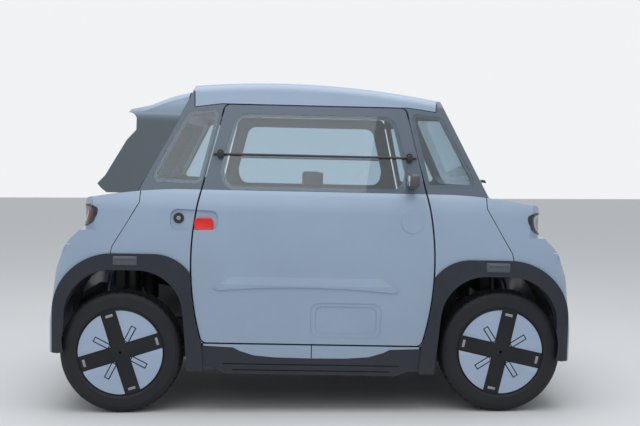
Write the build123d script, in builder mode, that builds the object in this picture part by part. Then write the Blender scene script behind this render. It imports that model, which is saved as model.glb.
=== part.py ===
"""Two-seat electric microcar: moulded panels on a tubular frame, right side towards -Y, nose towards +X."""
import os
from math import cos, radians, sin, tan

from build123d import *

os.makedirs("parts", exist_ok=True)

# ---------------------------------------------------------------- driving dimensions (mm, degrees)
LENGTH = 2410            # over the bumpers, on the centre line
BODY_WIDTH = 1364        # over the plain panels at their widest
WHEELBASE = 1728
TRACK = 1164             # between the middles of the two tyres of an axle
TYRE_RADIUS = 278        # 155/65 R14
TYRE_WIDTH = 155
RIM_RADIUS = 178
COVER_RADIUS = 196       # wheel cover
BODY_PITCH = 1.05        # the empty body sits this much nose down on its springs
PITCH_HEIGHT = 330       # height of the line about which it tips
KINGPIN_LEAN = 12        # the steering axes lean inwards at the top
KINGPIN_Y = 520          # where they pass wheel height
BELT = 1006              # top of the lower body, under the windows
ROOF_TOP = 1520
ROOF_EDGE = 1400         # joint between the roof and the doors
ROOF_CORNER = 48         # rounding along the roof's sides
PANEL = 14               # moulded outer panels
WALL = 45                # doors and window pillars, outside to inside
GLASS = 5
TRIM = 9                 # arch trims stand this far off the panels
DOOR_GAP = 7.5
PANEL_GAP = 4
FIT = 0.3                # room round what is seated
RUNNING = 0.05           # radial room of a pin or shaft in its bore

NOSE = LENGTH / 2
SIDE = BODY_WIDTH / 2
AXLE_X = WHEELBASE / 2
WHEEL_Y = TRACK / 2
REACH = 900              # cutters reach past the sides
DOOR_BOTTOM = 320
DOOR_CORNER = 28
HINGE_BACK = 64          # door pins stand this far behind the door's front edge
HINGE_DEPTH = 8         # and this far under its skin
HINGE_LEVELS = (420, 680)
PIN_RADIUS = 5
ARCH_TOP = 640
SILL_TOP = DOOR_BOTTOM - DOOR_GAP
SILL_BOTTOM = 178

# Upper body, half outlines at two heights.
CAB_LEVELS = [
    # z, screen middle x, screen corner x, side y
    (900, 923, 842, 656),
    (1440, 625, 570, 545),
]

# Right door, front half of its outline.
DOOR_EDGE = [
    # x, z
    (494, DOOR_BOTTOM),
    (NOSE - 667, 835),
    (507, BELT),
    (412, ROOF_EDGE - 4),
]

HINGE_X = DOOR_EDGE[1][0] - HINGE_BACK
HINGE_Y = SIDE - 4 - HINGE_DEPTH

BODY = Location((0, 0, PITCH_HEIGHT), (0, BODY_PITCH, 0)) * Location((0, 0, -PITCH_HEIGHT))


def write(piece, name, on_body=True):
    """Tip a body piece with the body, label it and write its file."""
    if on_body:
        piece = piece.moved(BODY)
    piece.label = name
    export_step(piece, f"parts/{name}.step")

# ---------------------------------------------------------------- closed shapes that the panels are cut from
def cross_section(inset):
    """Section of the lower body, seen along the car."""
    with BuildSketch(Plane.YZ, mode=Mode.PRIVATE) as section:
        with BuildLine():
            ThreePointArc((SIDE - 22, 0), (SIDE, 640), (SIDE - 14, 900))
            ThreePointArc((SIDE - 14, 900), (SIDE - 25, 960), (SIDE - 46, BELT))
            Polyline((SIDE - 46, BELT), (0, BELT), (0, 0), (SIDE - 22, 0))
        make_face()
        mirror(about=Plane.YZ)
        offset(amount=-inset)
    return section.sketch


def end_plan(tip, corner_x, corner_y, inset, z=0):
    """Plan with the same shallow arc over both ends."""
    with BuildSketch(Plane.XY.offset(z), mode=Mode.PRIVATE) as plan:
        with BuildLine():
            ThreePointArc((corner_x, -corner_y), (tip, 0), (corner_x, corner_y))
            Polyline((corner_x, corner_y), (0, corner_y), (0, -corner_y), (corner_x, -corner_y))
        make_face()
        mirror(about=Plane.YZ)
        offset(amount=-inset)
    return plan.sketch


def bumper_block(inset):
    """Lower body up to the ledge under the lamps."""
    with BuildPart(mode=Mode.PRIVATE) as block:
        with BuildSketch(Plane.XZ):
            with BuildLine():
                ThreePointArc((NOSE - 18, 0), (NOSE, 400), (NOSE - 42, 722))
                Polyline((NOSE - 42, 722), (NOSE - 143, 817), (0, 817), (0, 0), (NOSE - 18, 0))
            make_face()
            mirror(about=Plane.YZ)
            offset(amount=-inset)
        extrude(amount=REACH, both=True)
        extrude(end_plan(NOSE, NOSE - 27, 760, inset), amount=BELT, mode=Mode.INTERSECT)
        extrude(cross_section(inset), amount=LENGTH, both=True, mode=Mode.INTERSECT)
        upright = block.edges().filter_by(lambda e: e.bounding_box().size.Z > 300)
        fillet(upright.filter_by(lambda e: abs(e.center().X) > NOSE - 105), radius=60 - inset)
    return block.part


def bonnet_block(inset):
    """Lower body over its full height, back to the lamps, with rounded plan corners."""
    front, corner, back = NOSE - 160, NOSE - 190, NOSE - 290
    with BuildPart(mode=Mode.PRIVATE) as block:
        with BuildSketch(Plane.XZ):
            with BuildLine():
                ThreePointArc((NOSE - 138, 905), (NOSE - 159, 944), (NOSE - 220, 966))
                ThreePointArc((NOSE - 220, 966), (780, 996), (520, BELT))
                Polyline((520, BELT), (0, BELT), (0, 500), (NOSE - 155, 500), (NOSE - 138, 905))
            make_face()
            mirror(about=Plane.YZ)
            offset(amount=-inset)
        extrude(amount=REACH, both=True)
        with BuildSketch():
            with BuildLine():
                ThreePointArc((front, 540), (NOSE - 134, 0), (front, -540))
                ThreePointArc((front, 540), (corner, 635), (back, 700))
                ThreePointArc((front, -540), (corner, -635), (back, -700))
                Polyline((back, 700), (0, 700), (0, -700), (back, -700))
            make_face()
            mirror(about=Plane.YZ)
            offset(amount=-inset)
        extrude(amount=BELT, mode=Mode.INTERSECT)
        extrude(cross_section(inset), amount=LENGTH, both=True, mode=Mode.INTERSECT)
    return block.part


def lower_body(inset=0.0):
    """Everything under the belt as one solid, its faces moved in by inset."""
    return bonnet_block(inset) + bumper_block(inset)


def upper_body(inset=0.0, roof_inset=None):
    """The cab over the belt with its crowned roof, its faces moved in."""
    drop = inset if roof_inset is None else roof_inset
    crown_radius = 7200
    with BuildPart(mode=Mode.PRIVATE) as cab:
        for z, middle, corner, side in CAB_LEVELS:
            top = z if z < BELT else ROOF_TOP + 60
            rise = (top - CAB_LEVELS[0][0]) / (CAB_LEVELS[1][0] - CAB_LEVELS[0][0])
            sizes = [a + (b - a) * rise for a, b in zip(CAB_LEVELS[0][1:], CAB_LEVELS[1][1:])]
            add(end_plan(*sizes, inset, top))
        loft(ruled=True)
        with BuildSketch(Plane.XZ):
            with BuildLine():
                ThreePointArc((-900, 1452 - drop), (-120, ROOF_TOP - drop), (900, 1380 - drop))
                Polyline((900, 1380 - drop), (900, 500), (-900, 500), (-900, 1452 - drop))
            make_face()
        crown_axis = Axis((0, 0, ROOF_TOP - crown_radius), (1, 0, 0))
        revolve(axis=crown_axis, revolution_arc=360, mode=Mode.INTERSECT)
        if inset == 0:
            edges = cab.edges().filter_by(lambda e: e.center().Z > ROOF_EDGE and abs(e.center().Y) > 300)
            fillet(edges.filter_by(lambda e: e.bounding_box().size.X > 600), radius=ROOF_CORNER)
    return cab.part


def prism(outline):
    """A side outline run right through the car."""
    return extrude(outline, amount=REACH, both=True, mode=Mode.PRIVATE)


def right_prism(outline):
    """A side outline run out through the right side only."""
    return extrude(outline, amount=REACH, mode=Mode.PRIVATE)


def block(x, y, z):
    """A box between pairs of limits."""
    middle = Pos((x[0] + x[1]) / 2, (y[0] + y[1]) / 2, (z[0] + z[1]) / 2)
    return middle * Box(x[1] - x[0], y[1] - y[0], z[1] - z[0], mode=Mode.PRIVATE)


def both_sides(piece):
    """A right piece and its mirror image."""
    return piece + mirror(piece, about=Plane.XZ)


def both_ends(piece):
    """A front piece and its mirror image at the tail."""
    return piece + mirror(piece, about=Plane.YZ)


def four_corners(piece):
    """A right front piece and its images at the other corners."""
    pair = both_sides(piece)
    return pair + mirror(pair, about=Plane.YZ)


def half_turn(piece):
    """A right door piece as it sits in the left door."""
    return piece.moved(Location((0, 0, 0), (0, 0, 180)))


# ---------------------------------------------------------------- outlines seen from the side
def door_outline(grow=0.0):
    with BuildSketch(Plane.XZ, mode=Mode.PRIVATE) as outline:
        with BuildLine():
            ThreePointArc(DOOR_EDGE[0], DOOR_EDGE[1], DOOR_EDGE[2])
            Polyline(DOOR_EDGE[2], DOOR_EDGE[3], (0, DOOR_EDGE[3][1]), (0, DOOR_BOTTOM), DOOR_EDGE[0])
        make_face()
        mirror(about=Plane.YZ)
        corners = outline.vertices().filter_by(lambda v: abs(v.X) > 1)
        low = corners.filter_by(lambda v: v.Z < DOOR_BOTTOM + 1)
        high = corners.filter_by(lambda v: v.Z > ROOF_EDGE - 10)
        fillet(low + high, radius=DOOR_CORNER)
        offset(amount=grow)
    return outline.sketch


def arch_outline(grow=0.0):
    """Front wheel arch: leaning leg, round shoulders, flat top; grow 0 is the edge round the wheel."""
    corners = [
        (541 - grow * 0.9, 0),
        (599 - grow, ARCH_TOP + grow),
        (1112 + grow * 0.75, ARCH_TOP + grow),
        (1110 + grow * 0.75, 0),
    ]
    with BuildSketch(Plane.XZ, mode=Mode.PRIVATE) as outline:
        with BuildLine():
            edge = FilletPolyline(*corners, radius=[205, 210 + grow * 0.8])
            Line(edge @ 1, edge @ 0)
        make_face()
    return outline.sketch


def split_outline(shift=0.0):
    """All that lies ahead of the joint between wing and nose."""
    points = [(x + shift, z) for x, z in SPLIT]
    with BuildSketch(Plane.XZ, mode=Mode.PRIVATE) as outline:
        with BuildLine():
            Line(points[0], points[1])
            ThreePointArc(points[1], points[2], points[3])
            Polyline(points[3], points[4], (points[4][0], 0), (NOSE + 100, 0), (NOSE + 100, 1100), points[0])
        make_face()
    return outline.sketch


def rounded_outline(points, radius, grow=0.0):
    """A side outline through a few corners, all rounded."""
    with BuildSketch(Plane.XZ, mode=Mode.PRIVATE) as outline:
        with BuildLine():
            Polyline(*points, close=True)
        make_face()
        fillet(outline.vertices(), radius=radius)
        offset(amount=grow)
    return outline.sketch


def cross_outline(width, z_low, z_high, radius, grow=0.0):
    """A rounded opening seen along the car, symmetric about the middle."""
    with BuildSketch(Plane.YZ, mode=Mode.PRIVATE) as outline:
        with BuildLine():
            low, high = width
            Polyline((-low, z_low), (low, z_low), (high, z_high), (-high, z_high), close=True)
        make_face()
        fillet(outline.vertices(), radius=radius)
        offset(amount=grow)
    return outline.sketch


ARCH_TRIM = 74           # width of the arch trims in side view
ARCH_EDGE = 34           # panels end this far outside the arch's edge, under the trim
RABBET = 15              # the thick part of a door ends this far inside its skin's edge

# Joint between wing and nose.
SPLIT = [
    # x, z
    (778, 1100),
    (785, 945),
    (846, 840),
    (902, 746),
    (935, 600),
]

# Clear glass of the front quarter window, of the door window and of the two screens.
QUARTER_GLASS = [(452, 1364), (574, 1346), (726, 1052), (526, 1046)]
DOOR_GLASS = [(352, 1342), (414, 1100), (400, 1022), (-400, 1022), (-414, 1100), (-352, 1342)]
QUARTER_RADIUS = 16
DOOR_GLASS_RADIUS = 52
SCREEN_WIDTH = (575, 492)
SCREEN_LEVELS = (1042, 1394)
REAR_WIDTH = (500, 455)
REAR_LEVELS = (1052, 1330)
GLASS_EDGE = 14          # panes reach this far under their frames


# ---------------------------------------------------------------- steering geometry of the right front wheel
LEAN = radians(KINGPIN_LEAN)
STEER_PLANE = Plane((AXLE_X, -KINGPIN_Y, TYRE_RADIUS), x_dir=(1, 0, 0), z_dir=(0, sin(LEAN), cos(LEAN)))

# Half section of what the wheel sweeps as it is steered, with room all round.
SWEEP = [
    # radius, height along the axis
    (135, -290),
    (263, -140),
    (309, 0),
    (297, 125),
    (240, 227),
    (185, 292),
]


def turned_wheel_room():
    half_section = Plane(STEER_PLANE.origin, x_dir=(1, 0, 0), z_dir=STEER_PLANE.y_dir * -1)
    with BuildPart() as room:
        with BuildSketch(half_section):
            with BuildLine():
                ThreePointArc(SWEEP[0], SWEEP[1], SWEEP[2])
                ThreePointArc(SWEEP[2], SWEEP[3], SWEEP[4])
                Polyline(SWEEP[4], SWEEP[5], (0, SWEEP[5][1]), (0, SWEEP[0][1]), SWEEP[0])
            make_face()
        revolve(axis=Axis(STEER_PLANE.origin, STEER_PLANE.z_dir), revolution_arc=360)
    return room.part


# ---------------------------------------------------------------- shared shapes and cutters
skin = lower_body()
panel_inside = lower_body(PANEL)
wall_inside = lower_body(WALL)
trim_outside = lower_body(-TRIM)
trim_seat = lower_body(-FIT)
trim_inside = lower_body(PANEL + 8)
cab_skin = upper_body()
cab_panel_inside = upper_body(PANEL)
cab_inside = upper_body(WALL, 30)
wheel_room = turned_wheel_room().moved(BODY.inverse())
door_hole = prism(door_outline(DOOR_GAP))
arch_hole = right_prism(arch_outline())
panel_arch_hole = right_prism(arch_outline(ARCH_EDGE))
nose_part = right_prism(split_outline(PANEL_GAP / 2))
wing_end = right_prism(split_outline(-PANEL_GAP / 2))
panel_shell = skin - panel_inside
turned_in_edge = (trim_seat - trim_inside) & right_prism(arch_outline(ARCH_EDGE - 1))

# ---------------------------------------------------------------- lower panels
LAMP = [
    # lamp unit in side view, x, z
    (1003, 932),
    (1026, 868),
    (1050, 826),
    (NOSE, 826),
    (NOSE, 932),
]
LAMP_Y = (450, 700)

with BuildPart() as lamp_block:
    with BuildSketch(Plane.XZ.offset(LAMP_Y[0])):
        with BuildLine():
            Polyline(*LAMP, close=True)
        make_face()
    extrude(amount=LAMP_Y[1] - LAMP_Y[0])
lamp_room = lamp_block.part

with BuildPart() as half_nose:
    add(panel_shell)
    add(nose_part, mode=Mode.INTERSECT)
    add(panel_arch_hole, mode=Mode.SUBTRACT)
    add(block((500, 1300), (-REACH, REACH), (-10, 258)), mode=Mode.SUBTRACT)
    add(lamp_room, mode=Mode.SUBTRACT)
    add(wheel_room, mode=Mode.SUBTRACT)
with BuildPart() as nose_panel:
    add(half_nose.part)
    mirror(about=Plane.XZ)
with BuildPart() as tail_panel:
    add(nose_panel.part.moved(Location((0, 0, 0), (0, 0, 180))))

with BuildPart() as wing:
    add(panel_shell)
    add(block((430, 950), (-REACH, -560), (SILL_TOP + PANEL_GAP, 1100)), mode=Mode.INTERSECT)
    add(wing_end, mode=Mode.SUBTRACT)
    add(door_hole, mode=Mode.SUBTRACT)
    add(panel_arch_hole, mode=Mode.SUBTRACT)
    add(wheel_room, mode=Mode.SUBTRACT)

# The wing behind a door's free edge has the lock in a shallow recess, which runs on into the door.
LATCH_RECESS = [(645, 920), (430, 912), (430, 828), (645, 821)]
latch_recess = prism(rounded_outline(LATCH_RECESS, 34)) - lower_body(9)
with BuildPart() as latch_wing:
    add(wing.part)
    add(latch_recess, mode=Mode.SUBTRACT)
with BuildPart() as wings:
    add(wing.part)
    add(mirror(latch_wing.part, about=Plane.YZ))
    add(half_turn(wing.part))
    add(mirror(latch_wing.part, about=Plane.XZ))

with BuildPart() as arch_trim:
    add(right_prism(arch_outline(ARCH_TRIM)))
    add(trim_outside, mode=Mode.INTERSECT)
    add(trim_seat, mode=Mode.SUBTRACT)
    add(turned_in_edge)
    add(arch_hole, mode=Mode.SUBTRACT)
    add(door_hole, mode=Mode.SUBTRACT)
    add(block((AXLE_X - 50, 1300), (-REACH, REACH), (-10, 262)), mode=Mode.SUBTRACT)
    add(block((400, AXLE_X), (-REACH, REACH), (-10, 190)), mode=Mode.SUBTRACT)
    add(wheel_room, mode=Mode.SUBTRACT)

# Sill: a body-coloured strip under the door over a black cover. columns: x, z of their joint
SILL_JOINT = [(0, 254), (160, 256), (261, 264), (325, 284), (354, 299), (488, 305)]

with BuildPart() as sill_strip:
    with BuildSketch(Plane.XZ):
        with BuildLine():
            Polyline(*SILL_JOINT, (488, SILL_TOP), (0, SILL_TOP), close=True)
        make_face()
        with BuildSketch(mode=Mode.SUBTRACT):
            Rectangle(PANEL_GAP, LENGTH)
        mirror(about=Plane.YZ)
    extrude(amount=REACH)
    add(panel_shell, mode=Mode.INTERSECT)

with BuildPart() as sill:
    with BuildSketch(Plane.XZ):
        with BuildLine():
            Polyline(
                *[(x, z - FIT) for x, z in SILL_JOINT],
                (494, 303),
                (500, 215),
                (455, 205),
                (385, SILL_BOTTOM),
                (0, SILL_BOTTOM),
                close=True,
            )
        make_face()
        mirror(about=Plane.YZ)
    extrude(amount=REACH)
    add(trim_seat, mode=Mode.INTERSECT)
    add(wall_inside, mode=Mode.SUBTRACT)
    for z, half_length in ((224, 400), (197, 355)):
        line_band = block((-half_length, half_length), (-REACH, REACH), (z - 3, z + 3))
        add(line_band - lower_body(6), mode=Mode.SUBTRACT)

# ---------------------------------------------------------------- cab over the belt
def shut_line_roof(shift):
    """All that lies over the joint between roof and cab sides."""
    z = ROOF_EDGE + shift
    with BuildSketch(Plane.XZ, mode=Mode.PRIVATE) as outline:
        with BuildLine():
            points = [(-900, z - 66), (-430, z), (430, z), (900, z - 66), (900, z + 300), (-900, z + 300)]
            Polyline(*points, close=True)
        make_face()
    return outline.sketch


ROOF_BACK = -600         # joint between roof and tail frame, at the roof's height
ROOF_WALL = 30

over_roof_line = prism(shut_line_roof(PANEL_GAP / 2))
under_roof_line = prism(shut_line_roof(-PANEL_GAP / 2))     # the same, less the joint
quarter_hole = both_ends(prism(rounded_outline(QUARTER_GLASS, QUARTER_RADIUS)))
quarter_rebate = both_ends(prism(rounded_outline(QUARTER_GLASS, QUARTER_RADIUS, GLASS_EDGE)))
quarter_pane = both_ends(prism(rounded_outline(QUARTER_GLASS, QUARTER_RADIUS, GLASS_EDGE - FIT)))
door_glass_hole = prism(rounded_outline(DOOR_GLASS, DOOR_GLASS_RADIUS))
door_glass_rebate = prism(rounded_outline(DOOR_GLASS, DOOR_GLASS_RADIUS, GLASS_EDGE))
door_glass_pane = prism(rounded_outline(DOOR_GLASS, DOOR_GLASS_RADIUS, GLASS_EDGE - FIT))


def along(outline, ahead):
    """An outline seen from the front run out through the nose or the tail."""
    return extrude(outline, amount=NOSE if ahead else -NOSE, mode=Mode.PRIVATE)


screen_hole = along(cross_outline(SCREEN_WIDTH, *SCREEN_LEVELS, 45), True)
screen_rebate = along(cross_outline(SCREEN_WIDTH, *SCREEN_LEVELS, 45, 30), True)
screen_pane = along(cross_outline(SCREEN_WIDTH, *SCREEN_LEVELS, 45, 30 - FIT), True)
rear_hole = along(cross_outline(REAR_WIDTH, *REAR_LEVELS, 55), False)
glass_seat = upper_body(GLASS + FIT)
glass_inside = upper_body(GLASS)

ROOF_FRONT = (608, 533, 640)     # joint over the windscreen: middle x, corner x, corner y
roof_plan = end_plan(*ROOF_FRONT, 0)
roof_hole_plan = end_plan(*ROOF_FRONT, -PANEL_GAP)

with BuildPart() as roof_panel:
    add(cab_skin)
    add(upper_body(ROOF_WALL), mode=Mode.SUBTRACT)
    add(over_roof_line, mode=Mode.INTERSECT)
    extrude(roof_plan, amount=2 * REACH, mode=Mode.INTERSECT)
    add(block((ROOF_BACK + PANEL_GAP, REACH), (-REACH, REACH), (1300, 1600)), mode=Mode.INTERSECT)

roof_hole = extrude(roof_hole_plan, amount=2 * REACH) & under_roof_line
roof_hole = roof_hole & block((ROOF_BACK, REACH), (-REACH, REACH), (1300, 1600))

with BuildPart() as half_cab:
    add(cab_skin)
    add(block((-900, 900), (-REACH, 0), (BELT - 60, 1600)), mode=Mode.INTERSECT)
    add(cab_inside, mode=Mode.SUBTRACT)
    add(trim_seat, mode=Mode.SUBTRACT)
    add(roof_hole, mode=Mode.SUBTRACT)
    add(door_hole, mode=Mode.SUBTRACT)
    add(quarter_hole, mode=Mode.SUBTRACT)
    add(quarter_rebate - glass_seat, mode=Mode.SUBTRACT)
    add(screen_hole, mode=Mode.SUBTRACT)
    add(screen_rebate - glass_seat, mode=Mode.SUBTRACT)
    add(rear_hole, mode=Mode.SUBTRACT)
    add(block((-600, 600), (-500, -470), (1345, 1375)))
    for x in (-300, 300):
        add(block((x - 20, x + 20), (-500, -470), (1370, 1500)) & upper_body(ROOF_WALL + FIT))
with BuildPart() as cab_frame:
    add(half_cab.part)
    mirror(about=Plane.XZ)

with BuildPart() as windscreen:
    add(cab_skin - glass_inside)
    add(screen_pane, mode=Mode.INTERSECT)

with BuildPart() as quarter_windows:
    add(cab_skin - glass_inside)
    add(quarter_pane, mode=Mode.INTERSECT)
    add(block((-800, 800), (-400, 400), (900, 1600)), mode=Mode.SUBTRACT)

# Tail frame: a thick moulding round the rear screen with a lip over it.
TAIL_FRAME = [
    # x, z
    (-600, 1364),
    (-600, 1470),
    (-677, 1444),
    (-768, 1407),
    (-854, 1383),
    (-845, 1371),
    (-817, 1326),
    (-816, 1271),
    (-857, 1224),
    (-946, 1062),
    (-980, 1024),
    (-959, 1002),
    (-922, 974),
    (-800, 990),
]
REAR_GLASS = [(-800, 1336), (-938, 1040)]

with BuildPart() as tail_frame:
    with BuildSketch(Plane.XZ):
        with BuildLine():
            Polyline(*TAIL_FRAME, close=True)
        make_face()
    extrude(amount=REACH, both=True)
    with BuildSketch(Plane.YZ):
        with BuildLine():
            rise = (636 - 545) / (1440 - BELT)
            top_y = 636 - rise * (1540 - BELT)
            Polyline((-640, 985), (640, 985), (top_y, 1540), (-top_y, 1540), close=True)
        make_face()
        fillet(vertices().filter_by(lambda v: v.Z > 1500), radius=60)
    extrude(amount=LENGTH, both=True, mode=Mode.INTERSECT)
    add(upper_body(-FIT), mode=Mode.SUBTRACT)
    add(trim_seat, mode=Mode.SUBTRACT)
    add(rear_hole, mode=Mode.SUBTRACT)

glass_run = Vector(REAR_GLASS[1][0] - REAR_GLASS[0][0], 0, REAR_GLASS[1][1] - REAR_GLASS[0][1])
rear_corner = (REAR_GLASS[0][0], 0, REAR_GLASS[0][1])
rear_plane = Plane(rear_corner, x_dir=(0, 1, 0), z_dir=glass_run.cross(Vector(0, 1, 0)))
with BuildPart() as rear_screen:
    with BuildSketch(rear_plane):
        Rectangle(2 * REACH, 2 * glass_run.length)
    extrude(amount=GLASS / 2, both=True)
    add(along(cross_outline(REAR_WIDTH, *REAR_LEVELS, 55, -FIT), False), mode=Mode.INTERSECT)

# ---------------------------------------------------------------- doors, drawn as the right one
whole_skin = skin + cab_skin
whole_panel_inside = panel_inside + cab_panel_inside
whole_wall_inside = wall_inside + upper_body(WALL)
hinge_slots = [
    block((HINGE_X - 15, 700), (-HINGE_Y - 6.5, -500), (z - 20, z + 20)) for z in HINGE_LEVELS
]

# Door relief: a swage that fades upwards, a shallow panel under it and a round boss.
SWAGE = (-425, 366)      # ends of its lower edge
SWAGE_Z = 571
BOSS = (445, 879)
PANEL_RECESS = [(-8, 508), (313, 508), (313, 350), (-8, 350)]
PANEL_FLOOR = [(14, 492), (291, 492), (291, 368), (14, 368)]

with BuildPart() as swage:
    with BuildSketch(Plane.XZ.offset(SIDE - 6)):
        with BuildLine():
            ThreePointArc((SWAGE[0], SWAGE_Z - 14), (-30, SWAGE_Z + 5), (SWAGE[1], SWAGE_Z - 14))
            Polyline((SWAGE[1], SWAGE_Z - 14), (SWAGE[1] + 25, SWAGE_Z - 2), (SWAGE[1] - 60, SWAGE_Z + 52))
            swage_top = ((SWAGE[1] - 60, SWAGE_Z + 52), (SWAGE[0] + 60, SWAGE_Z + 52))
            Polyline(*swage_top, (SWAGE[0] - 25, SWAGE_Z - 2))
            Line((SWAGE[0] - 25, SWAGE_Z - 2), (SWAGE[0], SWAGE_Z - 14))
        make_face()
    extrude(amount=14)
    with BuildSketch(Plane.YZ) as section:
        with BuildLine():
            Polyline(
                (-SIDE + 6, SWAGE_Z - 30), (-SIDE - 6, SWAGE_Z - 30), (-SIDE - 6, SWAGE_Z + 14),
                (-SIDE + 0.6, SWAGE_Z + 56), (-SIDE + 6, SWAGE_Z + 56), close=True,
            )
        make_face()
    extrude(amount=REACH, both=True, mode=Mode.INTERSECT)

recess = prism(rounded_outline(PANEL_RECESS, 40)) - lower_body(3)
recess_floor = prism(rounded_outline(PANEL_FLOOR, 30)) - lower_body(6)
boss_ring = Location((BOSS[0], -SIDE, BOSS[1]), (90, 0, 0)) * Cylinder(50, 60, mode=Mode.PRIVATE)

with BuildPart() as door_panel:
    add((whole_skin - whole_panel_inside) & right_prism(door_outline()))
    add(swage.part)
    add(recess, mode=Mode.SUBTRACT)
    add(recess_floor, mode=Mode.SUBTRACT)
    add((lower_body(-2.5) - lower_body(4)) & boss_ring)
    add(mirror(latch_recess, about=Plane.YZ), mode=Mode.SUBTRACT)
    add((whole_panel_inside - whole_wall_inside) & right_prism(door_outline(-RABBET)))
    add(door_glass_hole, mode=Mode.SUBTRACT)
    add(door_glass_rebate - glass_seat, mode=Mode.SUBTRACT)
    for z, slot in zip(HINGE_LEVELS, hinge_slots):
        add(slot, mode=Mode.SUBTRACT)
        with Locations((HINGE_X, -HINGE_Y, z)):
            Cylinder(7.8, 40, mode=Mode.SUBTRACT)
            Cylinder(PIN_RADIUS + RUNNING, 84, mode=Mode.SUBTRACT)

BAR_Z = 1169
with BuildPart() as door_window:
    add(cab_skin - glass_inside)
    add(door_glass_pane, mode=Mode.INTERSECT)
    add(block((-800, 800), (-400, REACH), (900, 1600)), mode=Mode.SUBTRACT)
    add(block((-800, 800), (-REACH, REACH), (BAR_Z - 3, BAR_Z + 3)), mode=Mode.SUBTRACT)

bar_y = 656 - (BAR_Z - 900) * (656 - 545) / 540
with BuildPart() as window_bar:
    with BuildSketch(Plane.YZ.offset(-462)):
        with Locations((-bar_y - 6, BAR_Z)):
            Circle(5.5)
    extrude(amount=924)
    for x in (-430, 430):
        with BuildSketch(Plane.XZ.offset(bar_y + 1)):
            with Locations((x, BAR_Z)):
                RectangleRounded(26, 40, 10)
        extrude(amount=20)
    add(upper_body(-FIT), mode=Mode.SUBTRACT)

with BuildPart() as door_mirror:
    with BuildSketch(Plane.XY.offset(1040)):
        with BuildLine():
            corners = [(410, -600), (408, -740), (418, -748), (450, -738), (462, -690), (462, -600)]
            Polyline(*corners, close=True)
        make_face()
    extrude(amount=62, taper=4)
    add(upper_body(-FIT), mode=Mode.SUBTRACT)

# ---------------------------------------------------------------- door hinges and posts of the frame
POST_X = HINGE_X - 8     # the posts stand inboard of the door hinges
HINGE_ARM = 6            # half width
POST_WIDTH = 40
POST_Y = 592             # outer face of the posts
with BuildPart() as right_hinges:
    for z in HINGE_LEVELS:
        add(block((HINGE_X - HINGE_ARM, HINGE_X + HINGE_ARM), (-HINGE_Y, -POST_Y), (z - 18, z + 18)))
        with Locations((HINGE_X, -HINGE_Y, z)):
            Cylinder(HINGE_ARM + 1, 36)
            Cylinder(PIN_RADIUS, 80)

# Latch strikers on the posts behind the doors' free edges.
STRIKER_Z = 850
with BuildPart() as right_striker:
    add(block((-POST_X - 30, -POST_X - 10), (-POST_Y - 14, -POST_Y), (STRIKER_Z - 18, STRIKER_Z + 18)))

with BuildPart() as door_hinges:
    add(right_hinges.part)
    add(half_turn(right_hinges.part))
with BuildPart() as door_strikers:
    add(right_striker.part)
    add(half_turn(right_striker.part))

# ---------------------------------------------------------------- frame
RAIL_Y = 270
RAIL_Z = 178
RAIL_WIDTH = 40
BEAM_X = 1110            # bumper beams
BEAM_Y = 330
FLOOR_Z = 232
BULKHEAD_X = POST_X + POST_WIDTH
BATTERY_X = (-240, 70)
FOOTBOX_X = 712
FOOTBOX_Y = 338

# Brackets out to the wing and to the sill, cut off at the panels' inner faces.
BRACKET_X = (BULKHEAD_X + 46, BULKHEAD_X + 71)
post_foot = block((POST_X, BRACKET_X[1]), (-POST_Y, -POST_Y + 29), (895, 925))
wing_bracket = post_foot + (block(BRACKET_X, (-REACH, -POST_Y + 29), (895, 925)) & panel_inside)
sill_bracket = block((430, 460), (-REACH, -POST_Y + 5), (RAIL_Z + 15, RAIL_Z + 40)) & wall_inside

with BuildPart() as quarter_frame:
    add(block((0, BEAM_X), (-RAIL_Y - RAIL_WIDTH, -RAIL_Y), (RAIL_Z, RAIL_Z + 50)))
    add(block((0, BULKHEAD_X), (-POST_Y, RAIL_WIDTH - POST_Y), (RAIL_Z + 10, RAIL_Z + 50)))
    add(block((POST_X, BULKHEAD_X), (-POST_Y, -RAIL_Y), (RAIL_Z + 5, RAIL_Z + 45)))
    add(block((POST_X, BULKHEAD_X), (-POST_Y, RAIL_WIDTH - POST_Y), (RAIL_Z + 50, 925)))
    add(block((POST_X, BULKHEAD_X), (-POST_Y, 0), (885, 925)))
    add(block((BEAM_X, BEAM_X + 40), (-BEAM_Y, 0), (RAIL_Z, RAIL_Z + 50)))
    add(block((BEAM_X, BEAM_X + 40), (-BEAM_Y, 0), (400, 460)))
    add(wing_bracket)
    add(sill_bracket)
    add(block((BEAM_X, BEAM_X + 40), (-RAIL_Y - RAIL_WIDTH, -RAIL_Y), (RAIL_Z + 50, 400)))
TOWER_X = (AXLE_X - 25, AXLE_X + 25)
TOP_MOUNT_Z = 716        # front struts end here, over the road
REAR_SPRING_TOP = 640
DROP_AT_AXLE = AXLE_X * sin(radians(BODY_PITCH))
front_tower_z = TOP_MOUNT_Z + 6 + FIT + DROP_AT_AXLE + 1
rear_tower_z = REAR_SPRING_TOP + FIT - DROP_AT_AXLE + 1
with BuildPart() as half_towers:
    add(block(TOWER_X, (-RAIL_Y - RAIL_WIDTH, -RAIL_Y), (RAIL_Z + 50, front_tower_z + 25)))
    add(block(TOWER_X, (-480, -RAIL_Y), (front_tower_z, front_tower_z + 25)))
    tower_leg_y = (-RAIL_Y - RAIL_WIDTH, -RAIL_Y)
    add(block((-AXLE_X - 85, -AXLE_X - 50), tower_leg_y, (RAIL_Z + 50, rear_tower_z + 25)))
    add(block((-AXLE_X - 85, -AXLE_X + 40), (-RAIL_Y - 66, -RAIL_Y + 10), (rear_tower_z, rear_tower_z + 25)))
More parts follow.
